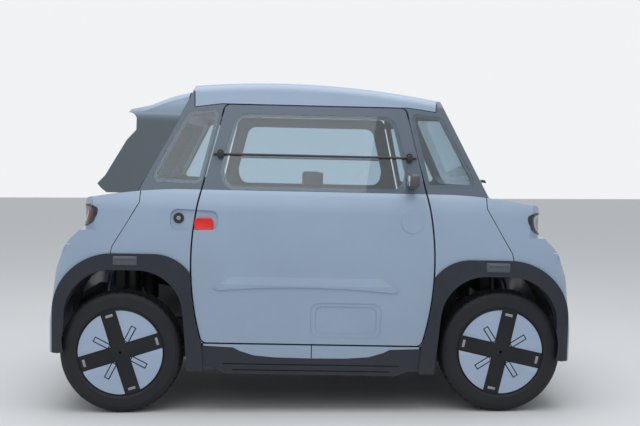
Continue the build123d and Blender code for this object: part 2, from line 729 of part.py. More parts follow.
with BuildPart() as chassis_frame:
    add(four_corners(quarter_frame.part))
    add(both_sides(half_towers.part))
    for x in (BATTERY_X[0] - 50, BATTERY_X[1] + 10):
        add(block((x, x + 40), (-RAIL_Y, RAIL_Y), (RAIL_Z, RAIL_Z + 50)))

with BuildPart() as floor_pan:
    add(block((-BULKHEAD_X, BULKHEAD_X + 8), (-POST_Y, POST_Y), (FLOOR_Z, FLOOR_Z + 8)))
    for x in ((BULKHEAD_X, BULKHEAD_X + 8), (-BULKHEAD_X - 8, -BULKHEAD_X)):
        add(block(x, (-POST_Y + 30, POST_Y - 30), (FLOOR_Z, 925)))
    post_centre = (POST_X + POST_WIDTH / 2, POST_Y - RAIL_WIDTH / 2)
    for x, y in [(i * post_centre[0], j * post_centre[1]) for i in (-1, 1) for j in (-1, 1)]:
        with Locations((x, y, FLOOR_Z)):
            Box(POST_WIDTH + 1, RAIL_WIDTH + 1, 40, mode=Mode.SUBTRACT)
    add(block((BULKHEAD_X, FOOTBOX_X), (-FOOTBOX_Y, FOOTBOX_Y), (FLOOR_Z, 568)))
    inner_y = FOOTBOX_Y - 8
    add(block((BULKHEAD_X - 20, FOOTBOX_X - 8), (-inner_y, inner_y), (FLOOR_Z + 8, 560)), mode=Mode.SUBTRACT)

# ---------------------------------------------------------------- wheel arch liners
with BuildPart() as liner:
    add(right_prism(arch_outline(4)))
    add(block((300, 1160), (-648, -FOOTBOX_Y - FIT), (275, 1100)), mode=Mode.INTERSECT)
    add(block((BULKHEAD_X + 8 + FIT, 640), (-560, -345), (480, 500)))
    add(panel_inside, mode=Mode.INTERSECT)
    add(arch_hole, mode=Mode.SUBTRACT)
    add(wheel_room, mode=Mode.SUBTRACT)
    with Locations((AXLE_X, -KINGPIN_Y + (ARCH_TOP - TYRE_RADIUS) * tan(LEAN), ARCH_TOP)):
        Cylinder(62, 60, mode=Mode.SUBTRACT)

# ---------------------------------------------------------------- lamps
with BuildPart() as right_lamp:
    add(lower_body(2))
    add(lamp_room, mode=Mode.INTERSECT)
    add(block((900, 1100), (-700, -LAMP_Y[0] - 2), (828, 930)), mode=Mode.INTERSECT)
with BuildPart() as headlamps:
    add(right_lamp.part)
    mirror(about=Plane.XZ)
with BuildPart() as tail_lamps:
    add(half_turn(headlamps.part))

# ---------------------------------------------------------------- inside the cab
DASH_Y = 559

with BuildPart() as dashboard:
    with BuildSketch(Plane.XZ):
        with BuildLine():
            Polyline(
                (440, 935), (470, 975), (770, 962), (770, 950), (640, 950), (640, 925 + FIT),
                (POST_X - 1, 925 + FIT), (POST_X - 1, 760), (445, 760), (440, 800), close=True,
            )
        make_face()
    extrude(amount=DASH_Y, both=True)

with BuildPart() as rear_shelf:
    add(block((-770, -490), (-DASH_Y, DASH_Y), (925, 937)))

SEATS = [
    # x of the cushion's middle, y
    (-150, -270),
    (-60, 270),
]
SEAT_HALF = 215

with BuildPart() as seat_shells:
    for x, y in SEATS:
        with BuildSketch(Plane.XZ.offset(-y)):
            with BuildLine():
                Polyline(
                    (x + 230, 440), (x - 190, 420), (x - 300, 980), (x - 325, 980), (x - 215, 395),
                    (x - 160, 300), (x - 160, FLOOR_Z + 8), (x + 160, FLOOR_Z + 8), (x + 160, 300),
                    (x + 235, 415),
                    close=True,
                )
            make_face()
        extrude(amount=SEAT_HALF, both=True)


def seat_pads(x, y):
    with BuildPart() as pads:
        with BuildSketch(Plane.XZ.offset(-y)):
            with BuildLine():
                Polyline(
                    (x + 230, 441), (x + 228, 500), (x - 130, 492), (x - 232, 960), (x - 295, 955),
                    (x - 189.5, 421),
                    close=True,
                )
            make_face()
        extrude(amount=SEAT_HALF - 20, both=True)
    return pads.part


WHEEL_CENTRE = (300, 270, 830)      # steering wheel
COLUMN_TILT = 28
column_axis = (-cos(radians(COLUMN_TILT)), 0, sin(radians(COLUMN_TILT)))
column_plane = Plane(WHEEL_CENTRE, x_dir=(0, 1, 0), z_dir=column_axis)

with BuildPart() as steering_wheel:
    with BuildSketch(Plane(WHEEL_CENTRE, x_dir=column_plane.z_dir, z_dir=column_plane.x_dir)):
        with Locations((0, 165)):
            Circle(15)
    revolve(axis=Axis(WHEEL_CENTRE, column_plane.z_dir), revolution_arc=360)
    with BuildSketch(column_plane.offset(-22)):
        Circle(42)
    extrude(amount=26)
    with BuildSketch(column_plane.offset(-14)):
        Rectangle(318, 34)
        with Locations((0, -80)):
            Rectangle(34, 160)
    extrude(amount=12)
    with BuildSketch(column_plane.offset(-60)):
        Circle(12)
    extrude(amount=40)

with BuildPart() as steering_column:
    with BuildSketch(column_plane.offset(-206)):
        Circle(30)
    extrude(amount=178)
    with BuildSketch(column_plane.offset(-68)):
        Circle(12 + RUNNING)
    extrude(amount=60, mode=Mode.SUBTRACT)
    add(dashboard.part, mode=Mode.SUBTRACT)

with BuildPart() as battery_box:
    add(block(BATTERY_X, (2 - RAIL_Y, RAIL_Y - 2), (FLOOR_Z - 50, FLOOR_Z)))

with BuildPart() as drive_motor:
    with BuildSketch(Plane.XZ.offset(-150)):
        with Locations((AXLE_X + 60, TYRE_RADIUS + 30)):
            Circle(95)
    extrude(amount=300)
    add(block((AXLE_X - 70, AXLE_X + 80), (-60, 60), (TYRE_RADIUS - 90, TYRE_RADIUS + 80)))
    add(block((AXLE_X + 45, AXLE_X + 75), (-RAIL_Y, RAIL_Y), (RAIL_Z + 5, RAIL_Z + 45)))

# ---------------------------------------------------------------- front suspension and steering
STRUT_RADIUS = 16
SPRING_RADIUS = 40
STRUT_TOP = (TOP_MOUNT_Z - TYRE_RADIUS) / cos(LEAN)     # along the steering axis, from wheel height
BALL_LOW = -118
STUB_RADIUS = 14

with BuildPart() as right_front_suspension:
    with BuildSketch(STEER_PLANE.offset(98)):
        Circle(STRUT_RADIUS)
    extrude(amount=STRUT_TOP - 98)
    with BuildSketch(STEER_PLANE.offset(330)):
        Circle(SPRING_RADIUS)
    extrude(amount=STRUT_TOP - 336)
    with Locations((AXLE_X, -KINGPIN_Y + (TOP_MOUNT_Z - TYRE_RADIUS) * tan(LEAN), TOP_MOUNT_Z)):
        Cylinder(54, 12)
    with BuildSketch(STEER_PLANE.offset(BALL_LOW - 6)):
        Circle(8)
    extrude(amount=32)
    low = STEER_PLANE.from_local_coords((0, 0, BALL_LOW))
    with BuildSketch(Plane.XY.offset(low.Z - 20.5)):
        with BuildLine():
            corners = [(-20, low.Y - 16), (-85, -RAIL_Y - 45), (-85, -RAIL_Y - 15), (85, -RAIL_Y - 15)]
            corners += [(85, -RAIL_Y - 45), (20, low.Y - 16)]
            Polyline(*[(AXLE_X + x, y) for x, y in corners], close=True)
        make_face()
    extrude(amount=18)

with BuildPart() as right_knuckle:
    with BuildSketch(STEER_PLANE.offset(112)):
        Circle(29)
    extrude(amount=44)
    with BuildSketch(STEER_PLANE.offset(BALL_LOW + 8)):
        Circle(20)
    extrude(amount=26)
    with BuildSketch(STEER_PLANE.offset(-96)):
        Rectangle(40, 30)
    extrude(amount=230)
    with BuildSketch(STEER_PLANE.offset(112)):
        Circle(STRUT_RADIUS + RUNNING)
    extrude(amount=60, mode=Mode.SUBTRACT)
    with BuildSketch(STEER_PLANE.offset(80)):
        Circle(STRUT_RADIUS + 1)
    extrude(amount=32, mode=Mode.SUBTRACT)
    with BuildSketch(STEER_PLANE.offset(-125)):
        Circle(8 + RUNNING)
    extrude(amount=40, mode=Mode.SUBTRACT)
    with BuildSketch(Plane.XZ.offset(WHEEL_Y - 40)):
        with Locations((AXLE_X, TYRE_RADIUS)):
            Circle(42)
    extrude(amount=-36)
    with BuildSketch(Plane.XZ.offset(WHEEL_Y - 41)):
        with Locations((AXLE_X, TYRE_RADIUS)):
            Circle(STUB_RADIUS)
    extrude(amount=76)
    with BuildSketch(Plane.XY.offset(TYRE_RADIUS + 6)):
        with BuildLine():
            Polyline(
                (AXLE_X - 10, -KINGPIN_Y + 12), (AXLE_X - 112, -KINGPIN_Y + 24),
                (AXLE_X - 118, -KINGPIN_Y + 8), (AXLE_X - 10, -KINGPIN_Y - 12), close=True,
            )
        make_face()
    extrude(amount=14)

with BuildPart() as front_suspension:
    add(right_front_suspension.part)
    mirror(about=Plane.XZ)

with BuildPart() as steering_rack:
    with BuildSketch(Plane.XZ.offset(-210)):
        with Locations((AXLE_X - 115, TYRE_RADIUS + 5)):
            Circle(20)
    extrude(amount=420)
    with BuildSketch(Plane.XZ.offset(-395)):
        with Locations((AXLE_X - 115, TYRE_RADIUS + 5)):
            Circle(7)
    extrude(amount=790)
    for y in (-120, 120):
        add(block((AXLE_X - 135, AXLE_X - 95), (y - 12, y + 12), (RAIL_Z + 50, TYRE_RADIUS)))
    add(block((AXLE_X - 135, AXLE_X - 95), (-RAIL_Y, RAIL_Y), (RAIL_Z + 30, RAIL_Z + 50)))

with BuildPart() as rear_suspension:
    with BuildSketch(Plane.XZ.offset(-WHEEL_Y + 30)):
        with Locations((-AXLE_X, TYRE_RADIUS)):
            Circle(24)
    extrude(amount=2 * (WHEEL_Y - 30))
    with BuildSketch(Plane.XZ.offset(-WHEEL_Y - 35)):
        with Locations((-AXLE_X, TYRE_RADIUS)):
            Circle(STUB_RADIUS)
    extrude(amount=2 * (WHEEL_Y + 35))
    for side in (-1, 1):
        y = sorted((side * 280, side * 320))
        add(block((-AXLE_X - 30, -BULKHEAD_X - 40), y, (TYRE_RADIUS - 30, TYRE_RADIUS + 10)))
        with Locations((-AXLE_X, side * 300, REAR_SPRING_TOP)):
            Cylinder(SPRING_RADIUS, 240, align=(Align.CENTER, Align.CENTER, Align.MAX))
        with Locations((-AXLE_X, side * 300, TYRE_RADIUS)):
            Cylinder(12, 160, align=(Align.CENTER, Align.CENTER, Align.MIN))

# ---------------------------------------------------------------- wheels
def wheel_section(points, spin_y):
    """Points given as depth outwards from the tyre's middle, radius."""
    return [(-spin_y - depth, radius) for depth, radius in points]


TYRE = [
    # outwards from the tyre's middle, radius
    (-60, RIM_RADIUS + FIT),
    (-72, RIM_RADIUS + 16),
    (-TYRE_WIDTH / 2, 226),
    (-70, 262),
    (-56, TYRE_RADIUS - 3),
    (0, TYRE_RADIUS),
    (56, TYRE_RADIUS - 3),
    (70, 262),
    (TYRE_WIDTH / 2, 226),
    (68, COVER_RADIUS + 2),
    (60, RIM_RADIUS + FIT),
]

with BuildPart() as tyre:
    with BuildSketch(Plane.YZ):
        with BuildLine():
            Polyline(*wheel_section(TYRE, 0), close=True)
        make_face()
    revolve(axis=Axis.Y, revolution_arc=360)

RIM = [
    # outwards from the tyre's middle, radius
    (-66, RIM_RADIUS - 8),
    (-66, RIM_RADIUS),
    (66.5, RIM_RADIUS),
    (70.5, COVER_RADIUS),
    (74, COVER_RADIUS),
    (77.5, COVER_RADIUS - 10),
    (78, 0),
    (60, 0),
    (60, RIM_RADIUS - 8),
]

with BuildPart() as wheel:
    with BuildSketch(Plane.YZ):
        with BuildLine():
            Polyline(*wheel_section(RIM, 0), close=True)
        make_face()
    revolve(axis=Axis.Y, revolution_arc=360)
    with BuildSketch(Plane.XZ.offset(-2)):
        Circle(44)
    extrude(amount=66)
    with BuildSketch(Plane.XZ.offset(-10)):
        Circle(STUB_RADIUS + RUNNING)
    extrude(amount=46, mode=Mode.SUBTRACT)

CORNERS = [
    # name, x, y sign (the right side is -1)
    ("front_right", AXLE_X, -1),
    ("front_left", AXLE_X, 1),
    ("rear_right", -AXLE_X, -1),
    ("rear_left", -AXLE_X, 1),
]

# ---------------------------------------------------------------- files
body_pieces = {
    "chassis_frame": chassis_frame,
    "cab_frame": cab_frame,
    "floor_pan": floor_pan,
    "nose_panel": nose_panel,
    "tail_panel": tail_panel,
    "roof_panel": roof_panel,
    "windscreen": windscreen,
    "quarter_windows": quarter_windows,
    "tail_frame": tail_frame,
    "rear_screen": rear_screen,
    "headlamps": headlamps,
    "tail_lamps": tail_lamps,
    "dashboard": dashboard,
    "rear_shelf": rear_shelf,
    "seat_shells": seat_shells,
    "steering_column": steering_column,
    "steering_wheel": steering_wheel,
    "battery_box": battery_box,
    "drive_motor": drive_motor,
    "door_hinges": door_hinges,
    "door_strikers": door_strikers,
}
for name, piece in body_pieces.items():
    write(piece.part, name)
write(wings.part, "wings")
write(four_corners(arch_trim.part), "arch_trims")
write(four_corners(liner.part), "wheel_liners")
write(both_sides(sill_strip.part), "sill_strips")
write(both_sides(sill.part), "sills")
for name, (x, y) in zip(("seat_pads_right", "seat_pads_left"), SEATS):
    write(seat_pads(x, y), name)
for name, piece in (("door_panel", door_panel), ("door_window", door_window), ("window_bar", window_bar)):
    write(piece.part, f"{name}_right")
    write(half_turn(piece.part), f"{name}_left")
write(door_mirror.part, "door_mirror_right")
write(mirror(door_mirror.part, about=Plane.XZ), "door_mirror_left")

# The running gear stands level on the road.
write(front_suspension.part, "front_suspension", on_body=False)
write(rear_suspension.part, "rear_suspension", on_body=False)
write(steering_rack.part, "steering_rack", on_body=False)
write(right_knuckle.part, "knuckle_right", on_body=False)
write(mirror(right_knuckle.part, about=Plane.XZ), "knuckle_left", on_body=False)
for name, x, side in CORNERS:
    place = Location((x, side * WHEEL_Y, TYRE_RADIUS), (0, 0, 0 if side < 0 else 180))
    write(tyre.part.moved(place), f"tyre_{name}", on_body=False)
    write(wheel.part.moved(place), f"wheel_{name}", on_body=False)
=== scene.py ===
from math import cos, exp, pi, radians, sin

import bmesh
import bpy
from mathutils import Matrix, Vector
from mathutils.bvhtree import BVHTree


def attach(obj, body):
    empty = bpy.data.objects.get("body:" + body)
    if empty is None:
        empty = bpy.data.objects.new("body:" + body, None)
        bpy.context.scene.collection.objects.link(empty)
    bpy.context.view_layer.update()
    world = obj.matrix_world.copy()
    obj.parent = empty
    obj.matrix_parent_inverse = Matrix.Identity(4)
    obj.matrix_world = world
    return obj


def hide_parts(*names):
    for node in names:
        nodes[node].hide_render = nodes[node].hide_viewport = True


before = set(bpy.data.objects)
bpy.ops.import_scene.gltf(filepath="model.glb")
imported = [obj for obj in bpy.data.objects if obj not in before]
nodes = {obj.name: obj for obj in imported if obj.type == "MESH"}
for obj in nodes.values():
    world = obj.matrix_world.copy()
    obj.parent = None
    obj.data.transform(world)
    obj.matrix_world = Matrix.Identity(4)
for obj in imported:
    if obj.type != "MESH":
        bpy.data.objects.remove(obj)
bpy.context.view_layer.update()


# ---------------------------------------------------------------- moulded outer panels
# The nose, tail, wings, doors, roof and sill strips are plastic mouldings, coloured right through
# and lightly lacquered. They clip and screw to the steel frame, with even joints between them.
DUST_COLOUR = (0.30, 0.28, 0.25, 1.0)
MIX_SHARE, MIX_FIRST, MIX_SECOND, MIX_RESULT = 0, 6, 7, 2      # the sockets of a Mix node for colours
DETAIL_INPUTS = (
    # name, kind, value where a finish gives none
    ("Vector", "NodeSocketVector", None),
    ("Colour", "NodeSocketColor", None),
    ("Roughness", "NodeSocketFloat", 0.4),
    ("Grain Scale", "NodeSocketFloat", 900.0),
    ("Mottle", "NodeSocketFloat", 0.06),
    ("Dust", "NodeSocketFloat", 0.2),
    ("Dust Top", "NodeSocketFloat", 0.5),
    ("Roughness Spread", "NodeSocketFloat", 0.1),
)
DETAIL_OUTPUTS = (
    ("Colour", "NodeSocketColor"), ("Roughness", "NodeSocketFloat"), ("Height", "NodeSocketFloat"),
)


def surface_group():
    """Grain, a little mottling, and road dust that thins out upwards."""
    group = bpy.data.node_groups.new("surface_detail", "ShaderNodeTree")
    for name, kind, value in DETAIL_INPUTS:
        socket = group.interface.new_socket(name, in_out="INPUT", socket_type=kind)
        if value is not None:
            socket.default_value = value
    for name, kind in DETAIL_OUTPUTS:
        group.interface.new_socket(name, in_out="OUTPUT", socket_type=kind)
    new, link = group.nodes.new, group.links.new
    given, out = new("NodeGroupInput"), new("NodeGroupOutput")

    def noise(scale, detail, roughness):
        node = new("ShaderNodeTexNoise")
        node.inputs["Scale"].default_value = scale
        node.inputs["Detail"].default_value = detail
        node.inputs["Roughness"].default_value = roughness
        link(given.outputs["Vector"], node.inputs["Vector"])
        return node

    def ranged(source, low, high, start, end):
        node = new("ShaderNodeMapRange")
        node.inputs["From Min"].default_value = low
        node.inputs["From Max"].default_value = high
        node.inputs["To Min"].default_value = start
        node.inputs["To Max"].default_value = end
        link(source, node.inputs["Value"])
        return node.outputs["Result"]

    def maths(operation, first, second):
        node = new("ShaderNodeMath")
        node.operation = operation
        for socket, value in zip(node.inputs, (first, second)):
            if isinstance(value, (int, float)):
                socket.default_value = value
            else:
                link(value, socket)
        return node.outputs[0]

    broad, cloudy, grain = noise(3.5, 5.0, 0.55), noise(24.0, 6.0, 0.62), noise(900.0, 2.0, 0.5)
    link(given.outputs["Grain Scale"], grain.inputs["Scale"])
    link(grain.outputs["Fac"], out.inputs["Height"])

    mottle = ranged(broad.outputs["Fac"], 0.3, 0.7, -1.0, 1.0)
    lift = maths("ADD", maths("MULTIPLY", mottle, given.outputs["Mottle"]), 1.0)
    shade = new("ShaderNodeVectorMath")
    shade.operation = "SCALE"
    link(given.outputs["Colour"], shade.inputs[0])
    link(lift, shade.inputs["Scale"])

    split = new("ShaderNodeSeparateXYZ")
    link(given.outputs["Vector"], split.inputs[0])
    height_ratio = maths("DIVIDE", split.outputs["Z"], given.outputs["Dust Top"])
    low_down = ranged(height_ratio, 0.0, 1.0, 1.0, 0.0)
    patchy = ranged(cloudy.outputs["Fac"], 0.35, 0.75, 0.15, 1.0)
    dust = maths("MULTIPLY", maths("MULTIPLY", low_down, patchy), given.outputs["Dust"])
    mixed = new("ShaderNodeMix")
    mixed.data_type = "RGBA"
    mixed.inputs[MIX_SECOND].default_value = DUST_COLOUR
    link(dust, mixed.inputs[MIX_SHARE])
    link(shade.outputs[0], mixed.inputs[MIX_FIRST])
    link(mixed.outputs[MIX_RESULT], out.inputs["Colour"])

    uneven = ranged(cloudy.outputs["Fac"], 0.3, 0.7, -1.0, 1.0)
    spread = maths("MULTIPLY", uneven, given.outputs["Roughness Spread"])
    rough = maths("ADD", maths("ADD", given.outputs["Roughness"], spread), maths("MULTIPLY", dust, 0.4))
    link(rough, out.inputs["Roughness"])
    return group


surface_detail = surface_group()


def new_material(name, colour, alpha=1.0):
    """An empty finish, with its node tree and its Principled shader."""
    made = bpy.data.materials.new(name)
    made.use_nodes = True
    made.diffuse_color = (*colour, alpha)
    return made, made.node_tree, made.node_tree.nodes["Principled BSDF"]


def material(
    name, colour, rough, grain=(900.0, 0.02), mottle=0.05, dust=(0.15, 0.5), spread=0.06, **constants,
):
    """A finish of the shared detail: grain is its scale and its depth in mm, dust its strength and top."""
    made, tree, shader = new_material(name, colour)
    place = tree.nodes.new("ShaderNodeTexCoord")
    detail = tree.nodes.new("ShaderNodeGroup")
    detail.node_tree = surface_detail
    values = {
        "Roughness": rough, "Grain Scale": grain[0], "Mottle": mottle, "Dust": dust[0], "Dust Top": dust[1],
        "Roughness Spread": spread, "Colour": (*colour, 1.0),
    }
    for socket, value in values.items():
        detail.inputs[socket].default_value = value
    bump = tree.nodes.new("ShaderNodeBump")
    bump.inputs["Strength"].default_value = 1.0
    bump.inputs["Distance"].default_value = grain[1] / 1000.0
    link = tree.links.new
    link(place.outputs["Object"], detail.inputs["Vector"])
    link(detail.outputs["Colour"], shader.inputs["Base Color"])
    link(detail.outputs["Roughness"], shader.inputs["Roughness"])
    link(detail.outputs["Height"], bump.inputs["Height"])
    link(bump.outputs["Normal"], shader.inputs["Normal"])
    for socket, value in constants.items():
        shader.inputs[socket.replace("_", " ")].default_value = value
    return made


def dress(finish, *names):
    """Put a finish on carried-over CAD nodes."""
    for name in names:
        for slot in nodes[name].material_slots:
            slot.material = finish


BODY_BLUE = (0.285, 0.368, 0.488)
body_paint = material(
    "body_paint", BODY_BLUE, 0.34, grain=(700.0, 0.05), mottle=0.03, dust=(0.22, 0.75), spread=0.05,
    Coat_Weight=0.35, Coat_Roughness=0.16,
)
dress(body_paint, "wings", "roof_panel", "sill_strips")

# The empty body sits a little nose down on its springs. What is drawn level on it is tipped with it.
BODY_PITCH = radians(1.05)
TIP_CENTRE = Matrix.Translation((0, 0, 0.33))
TIP = TIP_CENTRE @ Matrix.Rotation(BODY_PITCH, 4, "Y") @ TIP_CENTRE.inverted()


def colour_above_height(made, upper_colour, start, end):
    """Change a finish to another colour above a level of the body, over the height from start to end."""
    tree = made.node_tree
    detail = tree.nodes["Group"]
    place = tree.nodes["Texture Coordinate"]
    height = tree.nodes.new("ShaderNodeVectorMath")
    height.operation = "DOT_PRODUCT"
    height.inputs[1].default_value = (sin(BODY_PITCH), 0.0, cos(BODY_PITCH))
    above = tree.nodes.new("ShaderNodeMapRange")
    above.inputs["From Min"].default_value = start
    above.inputs["From Max"].default_value = end
    colours = tree.nodes.new("ShaderNodeMix")
    colours.data_type = "RGBA"
    colours.inputs[MIX_FIRST].default_value = detail.inputs["Colour"].default_value
    colours.inputs[MIX_SECOND].default_value = (*upper_colour, 1.0)
    link = tree.links.new
    link(place.outputs["Object"], height.inputs[0])
    link(height.outputs["Value"], above.inputs["Value"])
    link(above.outputs["Result"], colours.inputs[MIX_SHARE])
    link(colours.outputs[MIX_RESULT], detail.inputs["Colour"])
    return made


def add_object(name, data):
    """Link a new object into the scene."""
    made = bpy.data.objects.new(name, data)
    bpy.context.scene.collection.objects.link(made)
    return made


def piece(name, mesh_maker, finish, body, replaced=None, smooth=35.0):
    """Make a piece at the origin, with its finish and body; edges past smooth degrees are sharp."""
    shape = bmesh.new()
    mesh_maker(shape)
    bmesh.ops.remove_doubles(shape, verts=shape.verts, dist=1e-6)
    bmesh.ops.recalc_face_normals(shape, faces=shape.faces)
    for face in shape.faces:
        face.smooth = True
    limit = radians(smooth)
    for edge in shape.edges:
        if len(edge.link_faces) == 2 and edge.calc_face_angle(0.0) > limit:
            edge.smooth = False
    mesh = bpy.data.meshes.new(name)
    shape.to_mesh(mesh)
    shape.free()
    mesh.materials.append(finish)
    made = add_object(name, mesh)
    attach(made, body)
    if replaced:
        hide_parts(replaced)


def merge(shape, other):
    """Copy one bmesh into another."""
    temporary = bpy.data.meshes.new("temporary")
    other.to_mesh(temporary)
    other.free()
    shape.from_mesh(temporary)
    bpy.data.meshes.remove(temporary)


def level_copy(shape, node, turn):
    """Copy a CAD node into a bmesh, merged, level with the empty body and turned back."""
    shape.from_mesh(nodes[node].data)
    bmesh.ops.remove_doubles(shape, verts=shape.verts, dist=1e-5)
    bmesh.ops.transform(shape, matrix=(TIP @ turn).inverted(), verts=shape.verts)


def whole(shape):
    return shape.verts[:] + shape.edges[:] + shape.faces[:]


def cut_up(shape, cuts):
    """Cut a mesh along planes, each a place and a direction, so that it can be eased between them."""
    for place, facing in cuts:
        bmesh.ops.bisect_plane(shape, geom=whole(shape), plane_co=place, plane_no=facing, dist=1e-5)


def share_between(value, limits):
    """How far a value lies between two limits, from 0 to 1, starting and ending gently."""
    share = min(1.0, max(0.0, (value - limits[0]) / (limits[1] - limits[0])))
    return share * share * (3.0 - 2.0 * share)


# The nose and tail are one moulding used twice. Its corners are drawn in, more so under the lamps.
CORNER_EASE = (
    # height, how far the corner is drawn in
    (0.40, 0.0), (0.53, 0.015), (0.65, 0.027), (0.70, 0.037), (0.722, 0.040), (0.75, 0.024), (0.78, 0.016),
    (0.812, 0.036), (0.8175, 0.040), (0.824, 0.0),
)
CORNER_Y = (0.35, 0.62)      # the easing grows between these distances from the middle
CORNER_X = (1.03, 1.12)      # and these along the car
EASED_HEIGHTS = [0.40 + 0.0125 * step for step in range(34)]
EASED_DEPTHS = (1.03, 1.05, 1.07, 1.09, 1.12, 1.14, 1.16)
EASED_WIDTHS = (0.35, 0.42, 0.49, 0.55, 0.62)


def eased_end(node, turn):
    """An end panel with its corners drawn in, worked at the nose and turned back."""
    def make(shape):
        level_copy(shape, node, turn)
        cut_up(shape, [((0, 0, z), (0, 0, 1)) for z in EASED_HEIGHTS])
        cut_up(shape, [((x, 0, 0), (1, 0, 0)) for x in EASED_DEPTHS])
        cut_up(shape, [((0, side * y, 0), (0, 1, 0)) for y in EASED_WIDTHS for side in (-1, 1)])
        for vertex in shape.verts:
            x, y, z = vertex.co
            for (low, ease_low), (high, ease_high) in zip(CORNER_EASE, CORNER_EASE[1:]):
                if low <= z <= high:
                    ease = ease_low + (ease_high - ease_low) * (z - low) / (high - low)
                    vertex.co.x -= ease * share_between(abs(y), CORNER_Y) * share_between(x, CORNER_X)
        bmesh.ops.transform(shape, matrix=TIP @ turn, verts=shape.verts)
    return make


AS_DRAWN = Matrix.Identity(4)
HALF_TURN = Matrix.Rotation(pi, 4, "Z")
for end, turn in (("nose", AS_DRAWN), ("tail", HALF_TURN)):
    piece(f"{end}_moulding", eased_end(f"{end}_panel", turn), body_paint, "body_shell",
          replaced=f"{end}_panel", smooth=24)

# Each door is one moulding. Above the belt it is painted as the window surrounds are.
SURROUND_GREY = (0.088, 0.118, 0.158)
door_paint = colour_above_height(
    material(
        "door_paint", BODY_BLUE, 0.33, grain=(700.0, 0.05), mottle=0.03, dust=(0.22, 0.75), spread=0.05,
        Coat_Weight=0.35, Coat_Roughness=0.14,
    ),
    SURROUND_GREY, 1.0055, 1.0065,
)
dress(door_paint, "door_panel_right", "door_panel_left")

# ---------------------------------------------------------------- dark trims
# The arch trims and sills are black polypropylene with a spark-eroded grain, and clip over the panels' edges.
# The window surrounds are a smooth dark moulding round all of the glass, screwed to the frame.
arch_plastic = material(
    "arch_plastic", (0.018, 0.023, 0.032), 0.62, grain=(1500.0, 0.35), mottle=0.12, dust=(0.07, 0.50),
    spread=0.08, Specular_IOR_Level=0.4,
)
dress(arch_plastic, "arch_trims", "sills")

surround_gloss = material(
    "surround_gloss", SURROUND_GREY, 0.30, grain=(600.0, 0.03), mottle=0.05, dust=(0.05, 1.6), spread=0.04,
    Coat_Weight=0.3, Coat_Roughness=0.12,
)
dress(surround_gloss, "cab_frame")

# ---------------------------------------------------------------- tail frame
# One satin moulding holds the rear screen. Over its top its colour is painted lighter, up into the roof's
# colour:
# a painted sky reflection on the upward-curving top. The top is crowned to meet the roof, with its upper
# corners rounded off.
tail_satin_painted_sheen = colour_above_height(
    material(
        "tail_satin_painted_sheen", (0.058, 0.080, 0.096), 0.42, grain=(900.0, 0.06), mottle=0.06, dust=(0.05, 1.6),
        spread=0.05,
    ),
    # painted sky reflection: the colour fades from the dark satin up to the roof's blue between these heights
    BODY_BLUE, 1.315, 1.400,
)
CROWN_HEIGHTS = (1.335, 1.345, 1.36, 1.38, 1.40, 1.43)
CROWN_WIDTHS = [0.04 * step for step in range(2, 15)]
CROWN_RADIUS = 7.2
CORNER_DROP = 0.030
FRONT_LIP = 0.018            # how far the top's front edge reaches forward, under the roof


def crowned_frame(shape):
    level_copy(shape, "tail_frame", AS_DRAWN)
    cut_up(shape, [((0, 0, z), (0, 0, 1)) for z in CROWN_HEIGHTS])
    cut_up(shape, [((0, side * y, 0), (0, 1, 0)) for y in CROWN_WIDTHS for side in (-1, 1)])
    for vertex in shape.verts:
        x, y, z = vertex.co
        high = share_between(z, (1.335, 1.41))
        crown = y * y / (2 * CROWN_RADIUS)
        vertex.co.z -= high * (crown + CORNER_DROP * share_between(abs(y), (0.45, 0.60)))
        vertex.co.x += FRONT_LIP * high * share_between(x, (-0.66, -0.60))
    bmesh.ops.transform(shape, matrix=TIP, verts=shape.verts)


piece("tail_frame_moulding", crowned_frame, tail_satin_painted_sheen, "body_shell", replaced="tail_frame",
      smooth=24)

# ---------------------------------------------------------------- glazing
# Toughened panes five millimetres thick, tinted a faint blue green. The screens are bonded into the
# surrounds, and the door panes lie in rubber channels.
GLASS_TINT = (0.55, 0.67, 0.74)
window_glass, glass_tree, glass_shader = new_material("window_glass", GLASS_TINT, 0.3)
for socket, value in (
    ("Transmission Weight", 1.0), ("IOR", 1.52), ("Roughness", 0.0), ("Coat Weight", 0.6),
    ("Coat Roughness", 0.0),
):
    glass_shader.inputs[socket].default_value = value
glass_place = glass_tree.nodes.new("ShaderNodeTexCoord")
smear = glass_tree.nodes.new("ShaderNodeTexNoise")
smear.inputs["Scale"].default_value = 6.0
smear.inputs["Detail"].default_value = 6.0
tints = glass_tree.nodes.new("ShaderNodeMix")
tints.data_type = "RGBA"
tints.inputs[MIX_FIRST].default_value = (*GLASS_TINT, 1.0)
tints.inputs[MIX_SECOND].default_value = (*[0.97 * value for value in GLASS_TINT], 1.0)
# Light passes straight through to the cab, tinted, instead of leaving the glass's full shadow.
rays = glass_tree.nodes.new("ShaderNodeLightPath")
clear = glass_tree.nodes.new("ShaderNodeBsdfTransparent")
clear.inputs["Color"].default_value = (*GLASS_TINT, 1.0)
choice = glass_tree.nodes.new("ShaderNodeMixShader")
for output, socket in (
    (glass_place.outputs["Object"], smear.inputs["Vector"]),
    (smear.outputs["Fac"], tints.inputs[MIX_SHARE]),
    (tints.outputs[MIX_RESULT], glass_shader.inputs["Base Color"]),
    (rays.outputs["Is Shadow Ray"], choice.inputs["Fac"]),
    (glass_shader.outputs["BSDF"], choice.inputs[1]),
    (clear.outputs["BSDF"], choice.inputs[2]),
    (choice.outputs["Shader"], glass_tree.nodes["Material Output"].inputs["Surface"]),
):
    glass_tree.links.new(output, socket)
dress(window_glass, "windscreen", "quarter_windows", "rear_screen", "door_window_right", "door_window_left")

# ---------------------------------------------------------------- cab interior
# Black plastic mouldings with a coarse leather grain: dashboard, shelf, floor, liners and seat shells.
# They are screwed to the frame, and stay unpainted.
cab_plastic = material(
    "cab_plastic", (0.030, 0.032, 0.036), 0.58, grain=(1200.0, 0.3), mottle=0.10, dust=(0.2, 0.45),
    spread=0.08,
)
dress(cab_plastic, "dashboard", "rear_shelf", "seat_shells", "floor_pan", "wheel_liners")

